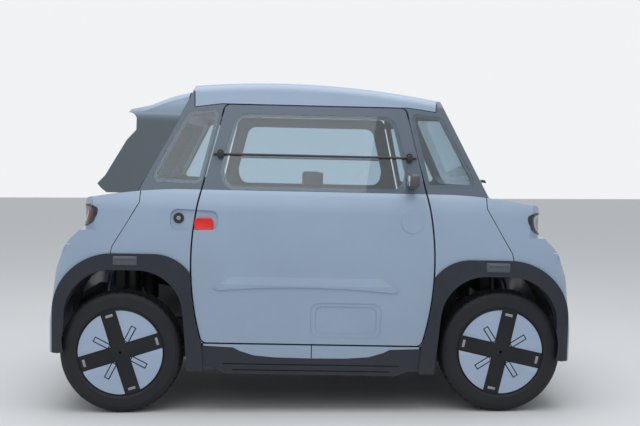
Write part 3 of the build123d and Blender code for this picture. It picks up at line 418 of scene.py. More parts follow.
# ---------------------------------------------------------------- frame and running gear
# Welded square tube with a black coat, and pressed suspension parts bolted to it. The motor's housing is
# cast light alloy and the knuckles are cast iron, all thinly dusted by the road.
frame_coat = material("frame_coat", (0.018, 0.019, 0.021), 0.42, grain=(300.0, 0.12), dust=(0.5, 0.6))
dress(frame_coat, "chassis_frame", "front_suspension", "rear_suspension", "steering_rack", "steering_column",
      "door_hinges", "door_strikers", "battery_box")
bare_casting = material(
    "bare_casting", (0.42, 0.43, 0.45), 0.45, grain=(500.0, 0.25), dust=(0.4, 0.7), Metallic=1.0,
)
dress(bare_casting, "drive_motor")
iron_casting = material(
    "iron_casting", (0.10, 0.09, 0.085), 0.62, grain=(450.0, 0.4), dust=(0.4, 0.7), Metallic=0.7,
)
dress(iron_casting, "knuckle_right", "knuckle_left")


# ---------------------------------------------------------------- tyres
# Black rubber tyres with four grooves round the tread, cut shoulders and a plain sidewall with two
# thin ribs. The bead sits on the rim.
def revolve(shape, outline, segments):
    """Spin a closed outline of (depth, radius) points about the Y axis; depth runs out to the right side."""
    corners = [shape.verts.new((0.0, -depth, radius)) for depth, radius in outline]
    runs = [shape.edges.new(pair) for pair in zip(corners, corners[1:])]
    runs.append(shape.edges.new((corners[-1], corners[0])))
    bmesh.ops.spin(
        shape, geom=corners + runs, cent=(0, 0, 0), axis=(0, 1, 0), dvec=(0, 0, 0), angle=2 * pi,
        steps=segments, use_merge=True, use_duplicate=False,
    )


TYRE_RADIUS = 0.278
TYRE_HALF = (
    # depth out from the tyre's middle, radius
    (0.0045, 0.2713), (0.0055, 0.2778), (0.0225, 0.2775), (0.0235, 0.2705), (0.0295, 0.2703),
    (0.0305, 0.2770), (0.0500, 0.2755), (0.0590, 0.2730), (0.0655, 0.2680), (0.0700, 0.2610),
    (0.0735, 0.2510), (0.0742, 0.2490), (0.0753, 0.2485), (0.0762, 0.2400), (0.0774, 0.2260),
    (0.0762, 0.2120), (0.0766, 0.2105), (0.0742, 0.2030), (0.0715, 0.1975), (0.0690, 0.1930),
    (0.0640, 0.1850), (0.0600, 0.1786),
)
TREAD_STEPS = 144
SHOULDER = (0.030, 0.0655)   # the cuts lie between these depths
CUT_REACH = 0.268            # and outside this radius
CUT_EVERY = 3
CUT_EDGE, CUT_DEPTH = 0.0008, 0.005


def tyre_mesh(shape):
    far_side = [(-depth, radius) for depth, radius in reversed(TYRE_HALF)]
    revolve(shape, list(TYRE_HALF) + far_side, TREAD_STEPS)
    cuts = []
    for face in shape.faces:
        middle = face.calc_center_median()
        flat = Vector((middle.x, middle.z))
        step = int((flat.angle_signed(Vector((1, 0))) + pi) / (2 * pi) * TREAD_STEPS + 0.01)
        first = 0 if middle.y < 0 else 1
        in_shoulder = SHOULDER[0] < abs(middle.y) < SHOULDER[1] and flat.length > CUT_REACH
        if in_shoulder and step % CUT_EVERY == first:
            cuts.append(face)
    bmesh.ops.inset_individual(shape, faces=cuts, thickness=CUT_EDGE, depth=-CUT_DEPTH)


rubber = material(
    "rubber", (0.0085, 0.0098, 0.0130), 0.58, grain=(1300.0, 0.15), mottle=0.15, dust=(0.03, 0.62),
    spread=0.08, Specular_IOR_Level=0.35,
)

# ---------------------------------------------------------------- wheels and their covers
# Pressed steel wheels, black, under a plastic cover that clips on. The cover is a black cross with four
# panels in the body colour between its arms, each with a raised bar and bevelled edges.
COVER_FACE = 0.0700
SECTOR_RADIUS = 0.1905
ARM_HALF = 0.036
SECTOR_RISE = 0.0042         # the panels' middles stand this far above their arm-side edges
FOLD_WIDTH = 0.004
HUB_FLAT = 0.053             # inside this radius the whole panel is raised
SECTOR_WALL, SECTOR_PROUD = 0.006, 0.0018
RIM_OUTLINE = (
    # depth out from the wheel's middle, radius
    (-0.0660, 0.1700), (-0.0660, 0.1790), (-0.0600, 0.1786), (-0.0450, 0.1720), (0.0450, 0.1720),
    (0.0600, 0.1786), (0.0645, 0.1800), (0.0665, 0.1850), (0.0640, 0.1850), (0.0560, 0.1760),
    (0.0420, 0.1690), (-0.0440, 0.1690),
)
DISC_OUTLINE = (
    (0.0400, 0.1690), (0.0460, 0.1690), (0.0520, 0.1200), (0.0480, 0.0600), (0.0480, 0.0150),
    (0.0420, 0.0150), (0.0420, 0.0600), (0.0460, 0.1180),
)
COVER_OUTLINE = (
    (0.0655, 0.1890), (0.0690, 0.1960), (0.0730, 0.1960), (0.0755, 0.1930), (0.0750, 0.1912),
    (0.0700, 0.1904), (0.0680, 0.1500), (0.0700, 0.0700), (0.0740, 0.0420), (0.0755, 0.0300),
    (0.0765, 0.0060), (0.0610, 0.0060), (0.0610, 0.1850),
)
wheel_black = material(
    "wheel_black", (0.007, 0.008, 0.011), 0.42, grain=(800.0, 0.06), dust=(0.03, 0.6), spread=0.08,
    Specular_IOR_Level=0.3,
)
cover_blue = material(
    "cover_blue", (0.335, 0.420, 0.560), 0.38, grain=(700.0, 0.05), mottle=0.03, dust=(0.10, 0.6),
    Coat_Weight=0.25, Coat_Roughness=0.2,
)
wheel_steel = material(
    "wheel_steel", (0.33, 0.33, 0.34), 0.38, grain=(500.0, 0.1), dust=(0.3, 0.6), Metallic=1.0,
)


def spun(outline, segments):
    """A maker of one spun part."""
    return lambda shape: revolve(shape, outline, segments)


def verts_in(parts):
    """The vertices among what an operator gives back."""
    return [part for part in parts if isinstance(part, bmesh.types.BMVert)]


def stand_up(shape, turn):
    """Turn what is drawn flat, in X and Y, to face out to the right at an angle in the wheel's plane."""
    matrix = Matrix.Rotation(-turn, 3, "Y") @ Matrix.Rotation(pi / 2, 3, "X")
    bmesh.ops.transform(shape, matrix=matrix, verts=shape.verts)


def rounded_block(shape, size, middle, rounding, segments=3):
    """A block with all its edges rounded."""
    block = bmesh.new()
    bmesh.ops.create_cube(block, size=1.0)
    bmesh.ops.scale(block, vec=size, verts=block.verts)
    bmesh.ops.bevel(
        block, geom=block.edges[:], offset=rounding, segments=segments, profile=0.5, affect="EDGES",
        material=-1,
    )
    bmesh.ops.translate(block, vec=middle, verts=block.verts)
    merge(shape, block)


def sector_mesh(shape):
    """The four panels between the arms, whose arm-side edges fold down from ridges that meet inside."""
    for quarter in range(4):
        flat = bmesh.new()
        bmesh.ops.create_circle(flat, cap_ends=True, segments=160, radius=SECTOR_RADIUS)
        for normal in ((1, 0, 0), (0, 1, 0)):
            bmesh.ops.bisect_plane(
                flat, geom=whole(flat), plane_co=Vector(normal) * ARM_HALF, plane_no=normal, clear_inner=True,
            )
        for angle in (7.5, 82.5):
            ridge = Matrix.Rotation(radians(angle), 3, "Z") @ Vector((1, 0, 0))
            bmesh.ops.bisect_plane(
                flat, geom=whole(flat), plane_co=(ARM_HALF, ARM_HALF, 0),
                plane_no=ridge.cross(Vector((0, 0, 1))),
            )
        for vertex in flat.verts:
            reach = min(vertex.co.x, vertex.co.y) - ARM_HALF
            raised = reach > FOLD_WIDTH or vertex.co.length < HUB_FLAT
            vertex.co.z = SECTOR_RISE if raised else 0.0
        rim = [edge for edge in flat.edges if edge.is_boundary]
        walls = bmesh.ops.extrude_edge_only(flat, edges=rim)["geom"]
        bmesh.ops.translate(flat, vec=(0, 0, -SECTOR_WALL), verts=verts_in(walls))
        stand_up(flat, quarter * pi / 2)
        bmesh.ops.translate(flat, vec=(0, -COVER_FACE - SECTOR_PROUD, 0), verts=flat.verts)
        merge(shape, flat)


def four_blocks(size, middle, rounding, first_turn):
    """A maker of four rounded blocks round the wheel."""
    def make(shape):
        for quarter in range(4):
            bar = bmesh.new()
            rounded_block(bar, size, middle, rounding, 2)
            stand_up(bar, quarter * pi / 2 + first_turn)
            merge(shape, bar)
    return make


WHEEL_PARTS = (
    # part, maker, finish, slot, smooth below this angle; the rim and the tyre stand for the CAD's own
    ("tyre", tyre_mesh, rubber, "tyre_rubber", 28),
    ("rim", spun(RIM_OUTLINE, 96), wheel_black, "wheel_paint", 35),
    ("disc", spun(DISC_OUTLINE, 96), wheel_steel, "wheel_paint", 35),
    ("cover", spun(COVER_OUTLINE, 128), wheel_black, "wheel_paint", 35),
    ("cover_panels", sector_mesh, cover_blue, "wheel_paint", 15),
    ("bar_seats", four_blocks((0.079, 0.0265, 0.0067), (0.094, 0, 0.07385), 0.0018, pi / 4), wheel_black,
     "wheel_paint", 35),
    ("bars", four_blocks((0.070, 0.0165, 0.0085), (0.094, 0, 0.07475), 0.0018, pi / 4), cover_blue,
     "wheel_paint", 35),
    # Bright glimpses of the wheel show through slots near the rim.
    ("rim_glints", four_blocks((0.012, 0.034, 0.002), (0.172, 0, 0.0688), 0.0008, 0), wheel_steel,
     "wheel_paint", 35),
)
HALF_WHEELBASE, HALF_TRACK = 0.864, 0.582
WHEELS = (
    # name, end of the car, side of the car, turn of the cross in degrees
    ("rear_right", -1, -1, 17), ("front_right", 1, -1, 77), ("rear_left", -1, 1, 40), ("front_left", 1, 1, 5),
)


def moved(maker, matrix):
    """A maker of the same piece at its place on the car."""
    def make(shape):
        maker(shape)
        bmesh.ops.transform(shape, matrix=matrix, verts=shape.verts)
    return make


for name, end, side, spoke in WHEELS:
    face_out = Matrix.Rotation(0.0 if side < 0 else pi, 4, "Z")
    hub = Matrix.Translation((end * HALF_WHEELBASE, side * HALF_TRACK, TYRE_RADIUS))
    place = hub @ face_out @ Matrix.Rotation(-radians(spoke), 4, "Y")
    stands_for = {"tyre": f"tyre_{name}", "rim": f"wheel_{name}"}
    for part, maker, finish, slot, smooth in WHEEL_PARTS:
        piece(f"{name}_{part}", moved(maker, place), finish, f"{name}_wheel",
              replaced=stands_for.get(part), smooth=smooth)

# ---------------------------------------------------------------- door furniture
# Each flap window folds on a round black bar that runs between two plastic knobs, and a catch holds it
# shut. A red webbing pull is screwed on at the lock side, in the recess that runs on from the wing.
fine_black = material("fine_black", (0.020, 0.021, 0.024), 0.38, grain=(1400.0, 0.12), mottle=0.05)
dress(fine_black, "window_bar_right", "window_bar_left")
KNOB_OUTLINE = (
    (0.0, 0.0), (0.0, 0.010), (0.005, 0.0135), (0.011, 0.0135), (0.0135, 0.0115),
    (0.0135, 0.0),
)
MIRRORED = Matrix.Scale(-1, 4, (0, 1, 0))
# The left door is the right door turned half round. Other pairs are mirror images.
DOOR_SIDES = (("right", AS_DRAWN), ("left", HALF_TURN))
CAR_SIDES = (("right", AS_DRAWN), ("left", MIRRORED))


def block(size, middle, rounding, segments=3):
    """A maker of one rounded block."""
    return lambda shape: rounded_block(shape, size, middle, rounding, segments)


def turned(outline, middle, segments=48):
    """A maker of a knob or button facing out to the right, from its outline in depth outwards and radius."""
    return moved(spun(outline, segments), Matrix.Translation(middle))


def pull_mesh(shape):
    loop = bmesh.new()
    bmesh.ops.create_cube(loop, size=1.0)
    bmesh.ops.scale(loop, vec=(0.086, 0.0085, 0.056), verts=loop.verts)
    corners = [edge for edge in loop.edges if abs(edge.verts[0].co.y - edge.verts[1].co.y) > 0.004]
    bmesh.ops.bevel(loop, geom=corners, offset=0.019, segments=7, profile=0.5, affect="EDGES", material=-1)
    outer = [face for face in loop.faces if face.normal.y < -0.9]
    bmesh.ops.inset_region(loop, faces=outer, thickness=0.0045, depth=0.0012, use_even_offset=True)
    bmesh.ops.inset_region(loop, faces=outer, thickness=0.0020, depth=-0.0014, use_even_offset=True)
    bmesh.ops.translate(loop, vec=(-0.495, -0.6675, 0.852), verts=loop.verts)
    merge(shape, loop)


pull_red = material(
    "pull_red", (0.72, 0.022, 0.018), 0.55, grain=(650.0, 0.35), mottle=0.08, dust=(0.04, 1.2),
)
for hand, side in DOOR_SIDES:
    door = f"door_{hand}"
    on_door = TIP @ side
    for x, end in ((-0.430, "rear"), (0.430, "front")):
        knob = turned(KNOB_OUTLINE, (x, -0.6215, 1.169), 32)
        piece(f"{door}_bar_knob_{end}", moved(knob, on_door), fine_black, door)
    piece(f"{door}_flap_catch", moved(block((0.095, 0.020, 0.064), (-0.009, -0.602, 1.062), 0.006), on_door),
          fine_black, door)
    piece(f"{door}_pull", moved(pull_mesh, on_door), pull_red, door)

# ---------------------------------------------------------------- locks
# Each door locks by a key. Its bright barrel sits in a black turned bezel, pressed into the recess of the
# wing beside the door.
LOCK_PLACE = (-0.608, -0.6600, 0.877)
BEZEL_OUTLINE = (
    (0.0, 0.0), (0.0, 0.0225), (0.004, 0.0240), (0.0080, 0.0220), (0.0085, 0.0135),
    (0.0050, 0.0120), (0.0050, 0.0),
)
BARREL_OUTLINE = (
    (0.0040, 0.0), (0.0040, 0.0100), (0.0100, 0.0096), (0.0112, 0.0070), (0.0106, 0.0030),
    (0.0106, 0.0),
)
for hand, side in DOOR_SIDES:
    for part, outline, finish, slot in (
        ("bezel", BEZEL_OUTLINE, fine_black, "black_frame"),
        ("barrel", BARREL_OUTLINE, wheel_steel, "frame_steel"),
    ):
        maker = moved(turned(outline, LOCK_PLACE), TIP @ side)
        piece(f"lock_{hand}_{part}", maker, finish, "body_shell")


# ---------------------------------------------------------------- pillar closers
# Black plastic strips clip to the frame's posts, behind the two upright edges of each door opening, and
# close the gap there.
def closer_mesh(shape):
    for x in (-0.5435, 0.5435):
        rounded_block(shape, (0.064, 0.008, 0.698), (x, -0.584, 0.649), 0.003, 2)


for hand, side in DOOR_SIDES:
    closers = moved(closer_mesh, TIP @ side)
    piece(f"pillar_closers_{hand}", closers, cab_plastic, "body_shell")

# ---------------------------------------------------------------- door mirrors
# A moulded plastic shell stands on a short foot at the front of each window, with its silvered glass
# facing back.
mirror_grey = material("mirror_grey", (0.075, 0.078, 0.082), 0.40, grain=(1400.0, 0.10), mottle=0.05)
mirror_glass = material(
    "mirror_glass", (0.75, 0.77, 0.78), 0.04, grain=(50.0, 0.001), dust=(0.02, 1.2), spread=0.01,
    Metallic=1.0,
)


def mirror_shell(shape):
    rounded_block(shape, (0.046, 0.108, 0.064), (0.443, -0.690, 1.066), 0.0175, 5)
    rounded_block(shape, (0.036, 0.060, 0.022), (0.441, -0.652, 1.043), 0.008)


for hand, flip in CAR_SIDES:
    mirror = f"door_mirror_{hand}"
    piece(f"{mirror}_shell", moved(mirror_shell, TIP @ flip), mirror_grey, f"door_{hand}",
          replaced=mirror)
    pane = block((0.004, 0.088, 0.046), (0.4195, -0.691, 1.066), 0.0018, 2)
    piece(f"{mirror}_glass", moved(pane, TIP @ flip), mirror_glass, f"door_{hand}")

# ---------------------------------------------------------------- side markers
# A small ribbed block of grey plastic is let into the top of each arch trim, over the wheel. It clips in
# from behind.
marker_grey = material("marker_grey", (0.070, 0.080, 0.098), 0.42, grain=(1500.0, 0.15), mottle=0.08)


def marker_mesh(shape):
    for x in (-0.842, 0.837):
        rounded_block(shape, (0.108, 0.012, 0.042), (x, -0.6880, 0.682), 0.0045)
        rounded_block(shape, (0.092, 0.008, 0.011), (x, -0.6925, 0.692), 0.0035)
        rounded_block(shape, (0.092, 0.006, 0.006), (x, -0.6925, 0.672), 0.0025)


for hand, flip in CAR_SIDES:
    piece(f"side_markers_{hand}", moved(marker_mesh, TIP @ flip), marker_grey, "body_shell")

# ---------------------------------------------------------------- windscreen wiper
# One pressed steel arm, painted black, turns on a pivot under the windscreen and carries a rubber blade in
# a narrow holder along the glass.
WIPER_Z = 1.052
WIPER_MIDDLE = -0.14
ARM_END = -0.13
PIVOT = Vector((0.892, 0.100, 1.010))
BLADES = (
    # length, height, depth, how far off the glass
    (0.56, 0.006, 0.016, 0.010), (0.54, 0.014, 0.007, 0.021),
)
screen_mesh = nodes["windscreen"].data
screen_tree = BVHTree.FromPolygons(
    [vertex.co for vertex in screen_mesh.vertices], [face.vertices for face in screen_mesh.polygons],
)


def on_glass(y, z, off):
    """The place at some height and width on the windscreen, held off it."""
    hit = screen_tree.ray_cast(Vector((2.0, y, z)), Vector((-1, 0, 0)))[0]
    return Vector((hit.x + off, y, z))


def wiper_mesh(shape):
    for length, tall, deep, off in BLADES:
        blade = bmesh.new()
        bmesh.ops.create_cube(blade, size=1.0)
        long_edges = [edge for edge in blade.edges if abs(edge.verts[0].co.y - edge.verts[1].co.y) > 0.5]
        bmesh.ops.subdivide_edges(blade, edges=long_edges, cuts=15, use_grid_fill=True)
        for vertex in blade.verts:
            local = vertex.co.copy()
            point = on_glass(WIPER_MIDDLE + local.y * length, WIPER_Z + local.z * tall, off)
            vertex.co = point + Vector((local.x * deep, 0, 0))
        merge(shape, blade)
    arm = bmesh.new()
    end = on_glass(ARM_END, WIPER_Z, 0.030)
    run = end - PIVOT
    rounded_block(arm, (0.010, run.length, 0.014), (0, 0, 0), 0.003, 2)
    bmesh.ops.transform(arm, matrix=run.to_track_quat("Y", "Z").to_matrix(), verts=arm.verts)
    bmesh.ops.translate(arm, vec=(PIVOT + end) / 2, verts=arm.verts)
    merge(shape, arm)
    rounded_block(shape, (0.030, 0.034, 0.026), PIVOT, 0.007)


piece("windscreen_wiper", wiper_mesh, fine_black, "body_shell")

# ---------------------------------------------------------------- lamps
# Small lamps wrap round the car's corners. Each is a glossy housing and face plate with a black bezel, a pale
# light guide inside that and one round lens in a bright ring, which looks ahead. It is screwed in from
# behind. The tail lamps have the same parts in red.
lamp_gloss = material(
    "lamp_gloss", (0.035, 0.040, 0.046), 0.12, grain=(300.0, 0.01), Coat_Weight=1.0, Coat_Roughness=0.03,
)
dress(lamp_gloss, "headlamps", "tail_lamps")
LAMP_EDGE = (
    # height, where the lamp's rear edge lies along the car
    (0.826, 1.028), (0.842, 1.006), (0.858, 0.988), (0.885, 0.974), (0.932, 0.962),
)
LAMP_BOTTOM, LAMP_TOP = 0.8290, 0.9290
LAMP_PIVOT = Vector((0.90, -0.40, 0.0))      # the face is drawn in turns about this place
FIRST_TURN, LAST_TURN, TURN_STEP = radians(21.0), radians(86), radians(0.5)

untip = TIP.inverted()
lamp_points, lamp_faces = [], []
for node in ("headlamps", "nose_panel"):
    shape = nodes[node].data
    lamp_faces += [[len(lamp_points) + index for index in face.vertices] for face in shape.polygons]
    lamp_points += [untip @ vertex.co for vertex in shape.vertices]
lamp_tree = BVHTree.FromPolygons(lamp_points, lamp_faces)


def lamp_hit(turn, z):
    away = Vector((cos(turn), -sin(turn), 0.0))
    point = lamp_tree.ray_cast(LAMP_PIVOT + away * 0.6 + Vector((0, 0, z)), -away)[0]
    return point, away


def lamp_place(across, up):
    """A place on the lamp's face and the direction outwards, from two shares of the face, -1 to 1."""
    z = LAMP_BOTTOM + (up + 1) / 2 * (LAMP_TOP - LAMP_BOTTOM)
    edge = LAMP_EDGE[0][1]
    for (low, x_low), (high, x_high) in zip(LAMP_EDGE, LAMP_EDGE[1:]):
        if low <= z <= high:
            edge = x_low + (x_high - x_low) * (z - low) / (high - low)
    last = FIRST_TURN
    while last < LAST_TURN and lamp_hit(last, z)[0].x > edge:
        last += TURN_STEP
    return lamp_hit(FIRST_TURN + (across + 1) / 2 * (last - FIRST_TURN), z)


def rounded_share(across, up):
    """Bring a place in a square to the same place in a square with rounded corners."""
    size = (abs(across) ** 5 + abs(up) ** 5) ** 0.2
    reach = max(abs(across), abs(up)) / size if size else 1.0
    return across * reach, up * reach


BAND_ROOT = 0.003            # how far a band's back lies below its face's lift


def band(outer, inner, lift, thickness):
    """A maker of a closed band that follows the lamp's outline, between two shares of the face."""
    def make(shape):
        strip = bmesh.new()
        bmesh.ops.create_circle(strip, segments=112, radius=1.0)
        loops = [strip.verts[:]]
        runs = strip.edges[:]
        for turn in range(3):
            grown = bmesh.ops.extrude_edge_only(strip, edges=runs)["geom"]
            loops.append(verts_in(grown))
            runs = [part for part in grown if isinstance(part, bmesh.types.BMEdge)
                    and all(end in set(loops[-1]) for end in part.verts)]
        first = [edge for edge in strip.edges if edge.is_boundary and edge not in set(runs)]
        bmesh.ops.bridge_loops(strip, edges=first + runs)
        root, top = lift - BAND_ROOT, lift + thickness
        for loop, share, off in zip(loops, (outer, outer, inner, inner), (root, top, top, root)):
            for vertex in loop:
                across, up = vertex.co.x, vertex.co.y
                size = max(abs(across), abs(up))
                across, up = rounded_share(across / size, up / size)
                point, away = lamp_place(across * share, up * share)
                vertex.co = point + away * off
        merge(shape, strip)
    return make


def face_plate(shape):
    """The glossy plate that fills the lamp's outline."""
    plate = bmesh.new()
    bmesh.ops.create_grid(plate, x_segments=40, y_segments=16, size=1.0)
    front = set(verts_in(bmesh.ops.extrude_face_region(plate, geom=plate.faces[:])["geom"]))
    for vertex in plate.verts:
        across, up = rounded_share(vertex.co.x, vertex.co.y)
        point, away = lamp_place(across * 0.99, up * 0.99)
        vertex.co = point + away * (0.0022 if vertex in front else -0.0015)
    merge(shape, plate)


LENS_ACROSS = -0.30          # the round lens sits this share of the face towards the car's middle


def lens(outline):
    """A maker of a turned part standing on the lamp's face, looking ahead and a little outwards."""
    def make(shape):
        turned_part = bmesh.new()
        revolve(turned_part, outline, 64)
        point, away = lamp_place(LENS_ACROSS, 0.0)
        facing = (away + Vector((1.2, 0, 0))).normalized()
        turn = Vector((0, -1, 0)).rotation_difference(facing).to_matrix()
        bmesh.ops.transform(turned_part, matrix=turn, verts=turned_part.verts)
        bmesh.ops.translate(turned_part, vec=point, verts=turned_part.verts)
        merge(shape, turned_part)
    return make


def at_corners(maker, turn):
    """A maker of the right unit's part and its mirror image, at the nose or turned round to the tail."""
    def make(shape):
        for _, flip in CAR_SIDES:
            one = bmesh.new()
            maker(one)
            bmesh.ops.transform(one, matrix=TIP @ turn @ flip, verts=one.verts)
            merge(shape, one)
    return make


guide_white = material(
    "guide_white", (0.34, 0.38, 0.42), 0.22, grain=(400.0, 0.05), dust=(0.03, 1.2), Coat_Weight=0.6,
)
guide_red = material(
    "guide_red", (0.17, 0.010, 0.012), 0.20, grain=(400.0, 0.05), dust=(0.03, 1.2), Coat_Weight=0.6,
)
lens_chrome = material(
    "lens_chrome", (0.72, 0.73, 0.75), 0.10, grain=(300.0, 0.005), dust=(0.02, 1.2), Metallic=1.0,
)
lens_dark = material(
    "lens_dark", (0.020, 0.024, 0.030), 0.04, grain=(100.0, 0.002), dust=(0.01, 1.2), Coat_Weight=1.0,
)
RING_OUTLINE = (
    (0.0, 0.0270), (0.0, 0.0330), (0.0045, 0.0325), (0.0060, 0.0295), (0.0030, 0.0265),
)
DOME_OUTLINE = (
    (0.0, 0.0), (0.0, 0.0268), (0.0030, 0.0262), (0.0058, 0.0200), (0.0075, 0.0105),
    (0.0080, 0.0),
)
for unit, turn, guide, dome in (
    ("headlamp", AS_DRAWN, guide_white, lens_dark), ("tail_lamp", HALF_TURN, guide_red, guide_red),
):
    for part, maker, finish in (
        ("face_plates", face_plate, lamp_gloss), ("bezels", band(1.0, 0.87, 0.002, 0.003), fine_black),
        ("guides", band(0.79, 0.64, 0.002, 0.0018), guide), ("lens_rings", lens(RING_OUTLINE), lens_chrome),
        ("lenses", lens(DOME_OUTLINE), dome),
    ):
        piece(f"{unit}_{part}", at_corners(maker, turn), finish, "body_shell")

# ---------------------------------------------------------------- seats
# Two fixed seats: moulded shells with a foam cushion and back, each in a stretched cloth cover with
# sewn channels. The pads swell under their cover; they lie flat on the shell.
seat_cloth = material(
    "seat_cloth", (0.048, 0.051, 0.058), 0.88, grain=(1100.0, 0.6), mottle=0.12, dust=(0.05, 1.0),
    Sheen_Weight=0.35,
)
PAD_CORNER = 0.018
PAD_VOXEL = 0.006
PAD_SWELL = 0.012            # no point swells further than this
CLOTH_FRAMES = 20
CHANNEL_HALF = 0.005         # half the width of a sewn channel
CHANNEL_DEPTH = 0.006        # across the pad
SIDE_SEAM_DEPTH = 0.005      # along the pad
SIDE_SEAM = 0.36             # where the two seams along it run, as a share of its width


def soft_pad(name, size, place, channels, replaced=None):
    """A foam pad, blown up under its cover, flat underneath, with sewn channels across and along it."""
    start = bmesh.new()
    rounded_block(start, size, (0, 0, 0), PAD_CORNER, 4)
    mesh = bpy.data.meshes.new(name)
    start.to_mesh(mesh)
    start.free()
    pad = add_object(name, mesh)
    remesh = pad.modifiers.new("remesh", "REMESH")
    remesh.mode = "VOXEL"
    remesh.voxel_size = PAD_VOXEL

    def baked():
        graph = bpy.context.evaluated_depsgraph_get()
        return bpy.data.meshes.new_from_object(pad.evaluated_get(graph))

    pad.data = baked()
    pad.modifiers.clear()
    before = [vertex.co.copy() for vertex in pad.data.vertices]
    cloth = pad.modifiers.new("cover", "CLOTH")
    cloth.settings.use_pressure = True
    cloth.settings.uniform_pressure_force = 4.0
    cloth.settings.effector_weights.gravity = 0.0
    cloth.settings.quality = 4
    for step in range(1, CLOTH_FRAMES + 1):
        bpy.context.scene.frame_set(step)
    swollen = baked()
    pad.modifiers.clear()
    bpy.context.scene.frame_set(1)
    for vertex, old, new in zip(pad.data.vertices, before, swollen.vertices):
        move = new.co - old
        vertex.co = old + move * min(1.0, PAD_SWELL / max(move.length, 1e-6))
    for vertex in pad.data.vertices:
        point = vertex.co
        point.z = max(point.z, -size[2] / 2)
        if point.z > 0:
            for share in channels:
                gap = (point.x - share * size[0]) / CHANNEL_HALF
                point.z -= CHANNEL_DEPTH * exp(-gap * gap)
            gap = (abs(point.y) - size[1] * SIDE_SEAM) / CHANNEL_HALF
            point.z -= SIDE_SEAM_DEPTH * exp(-gap * gap)
    for face in pad.data.polygons:
        face.use_smooth = True
    pad.data.transform(TIP @ place)
    pad.data.materials.clear()
    pad.data.materials.append(seat_cloth)
    finer = pad.modifiers.new("subdivision", "SUBSURF")
    finer.levels = finer.render_levels = 1
    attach(pad, "body_shell")
    if replaced:
        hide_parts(replaced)


CUSHION_SIZE, BACK_SIZE = (0.338, 0.372, 0.044), (0.440, 0.372, 0.044)
CUSHION_CHANNELS, BACK_CHANNELS = (-0.17, 0.17), (-0.22, 0.06)
CUSHION_TILT, BACK_TILT = radians(-1.8), radians(-102.3)
for hand, x, y in (("right", -0.150, -0.270), ("left", -0.060, 0.270)):
    cushion_place = Matrix.Translation((x + 0.050, y, 0.466)) @ Matrix.Rotation(CUSHION_TILT, 4, "Y")
    soft_pad(f"seat_{hand}_cushion", CUSHION_SIZE, cushion_place, CUSHION_CHANNELS, f"seat_pads_{hand}")
    back_place = Matrix.Translation((x - 0.207, y, 0.722)) @ Matrix.Rotation(BACK_TILT, 4, "Y")
    soft_pad(f"seat_{hand}_back", BACK_SIZE, back_place @ Matrix.Rotation(pi, 4, "X"), BACK_CHANNELS)

# ---------------------------------------------------------------- steering wheel
# A black foam rim moulded on a steel ring, with spokes to a hub that a nut holds on the column's splines.
# Its grain is the dashboard's.
dress(cab_plastic, "steering_wheel")

# ---------------------------------------------------------------- stage
# A plain pale floor under a soft overcast sky, two soft lamps, and the viewpoint at the height of a
# standing person's waist, five metres off the car's right side.
FLOOR_PALE = (0.62, 0.62, 0.63)
floor_finish, _, floor_shader = new_material("floor_pale", FLOOR_PALE)
for socket, value in (("Base Color", (*FLOOR_PALE, 1.0)), ("Roughness", 0.8), ("Specular IOR Level", 0.15)):
    floor_shader.inputs[socket].default_value = value
floor_shape = bmesh.new()
bmesh.ops.create_grid(floor_shape, x_segments=1, y_segments=1, size=30.0)
floor_mesh = bpy.data.meshes.new("floor")
floor_shape.to_mesh(floor_mesh)
floor_shape.free()
floor_mesh.materials.append(floor_finish)
add_object("floor", floor_mesh)

SKY_LOW, SKY_HIGH = (0.40, 0.43, 0.47, 1.0), (0.93, 0.98, 1.0, 1.0)
SKY_SEEN = (0.88, 0.89, 0.91, 1.0)
world = bpy.data.worlds.new("sky")
bpy.context.scene.world = world
world.use_nodes = True
sky = world.node_tree
new, link = sky.nodes.new, sky.links.new
background = sky.nodes["Background"]
background.inputs["Strength"].default_value = 0.85
where, axes = new("ShaderNodeTexCoord"), new("ShaderNodeSeparateXYZ")
shift, climb = new("ShaderNodeMapRange"), new("ShaderNodeValToRGB")
shift.inputs["From Min"].default_value = -1.0
for stop, place, colour in zip(climb.color_ramp.elements, (0.45, 0.95), (SKY_LOW, SKY_HIGH)):
    stop.position = place
    stop.color = colour
link(where.outputs["Generated"], axes.inputs[0])
link(axes.outputs["Z"], shift.inputs["Value"])
link(shift.outputs["Result"], climb.inputs["Fac"])
link(climb.outputs["Color"], background.inputs["Color"])
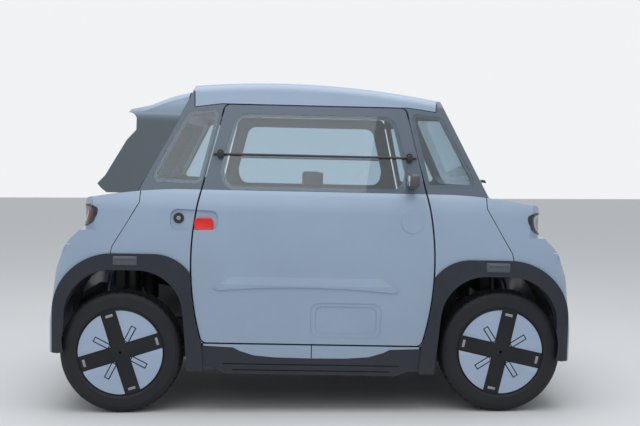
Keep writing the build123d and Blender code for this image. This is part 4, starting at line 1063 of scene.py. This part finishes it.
# Seen directly, in a reflection or through glass, the sky is one plain pale tone.
plain = new("ShaderNodeBackground")
plain.inputs["Color"].default_value = SKY_SEEN
seen, pick = new("ShaderNodeLightPath"), new("ShaderNodeMixShader")
seen_beyond, seen_at_all = new("ShaderNodeMath"), new("ShaderNodeMath")
seen_beyond.operation = seen_at_all.operation = "MAXIMUM"
link(seen.outputs["Is Camera Ray"], seen_at_all.inputs[0])
link(seen.outputs["Is Glossy Ray"], seen_beyond.inputs[0])
link(seen.outputs["Is Transmission Ray"], seen_beyond.inputs[1])
link(seen_beyond.outputs[0], seen_at_all.inputs[1])
link(seen_at_all.outputs[0], pick.inputs["Fac"])
link(background.outputs["Background"], pick.inputs[1])
link(plain.outputs["Background"], pick.inputs[2])
link(pick.outputs["Shader"], sky.nodes["World Output"].inputs["Surface"])

for name, place, target, size, power in (
    ("light_over", (0.0, -1.2, 5.2), (0, 0, 0.6), (6.0, 5.0), 175.0),
    ("light_side", (-1.5, -5.5, 4.2), (0, 0, 0.8), (5.0, 2.5), 30.0),
):
    lamp = bpy.data.lights.new(name, "AREA")
    lamp.shape = "RECTANGLE"
    lamp.size, lamp.size_y = size
    lamp.energy = power
    light = add_object(name, lamp)
    light.location = place
    light.rotation_euler = (Vector(target) - Vector(place)).to_track_quat("-Z", "Y").to_euler()

EYE = Vector((-0.0866, -4.9547, 1.1152))
YAW, DOWN, ROLL = 0.0287, 0.0473, 0.0038
PICTURE_WIDTH = 640.0
FOCAL = 953.5                # in the same units as the picture's width
SENSOR = 36.0
ahead = Vector((sin(YAW) * cos(DOWN), cos(YAW) * cos(DOWN), -sin(DOWN)))
level = Vector((cos(YAW), -sin(YAW), 0.0))
rise = level.cross(ahead)
right = level * cos(ROLL) + rise * sin(ROLL)
upward = rise * cos(ROLL) - level * sin(ROLL)
camera_data = bpy.data.cameras.new("camera")
camera_data.sensor_width = SENSOR
camera_data.lens = SENSOR * FOCAL / PICTURE_WIDTH
camera = add_object("camera", camera_data)
aim = Matrix((right, upward, -ahead)).transposed().to_4x4()
camera.matrix_world = Matrix.Translation(EYE) @ aim
bpy.context.scene.camera = camera
bpy.context.scene.view_settings.view_transform = "Standard"
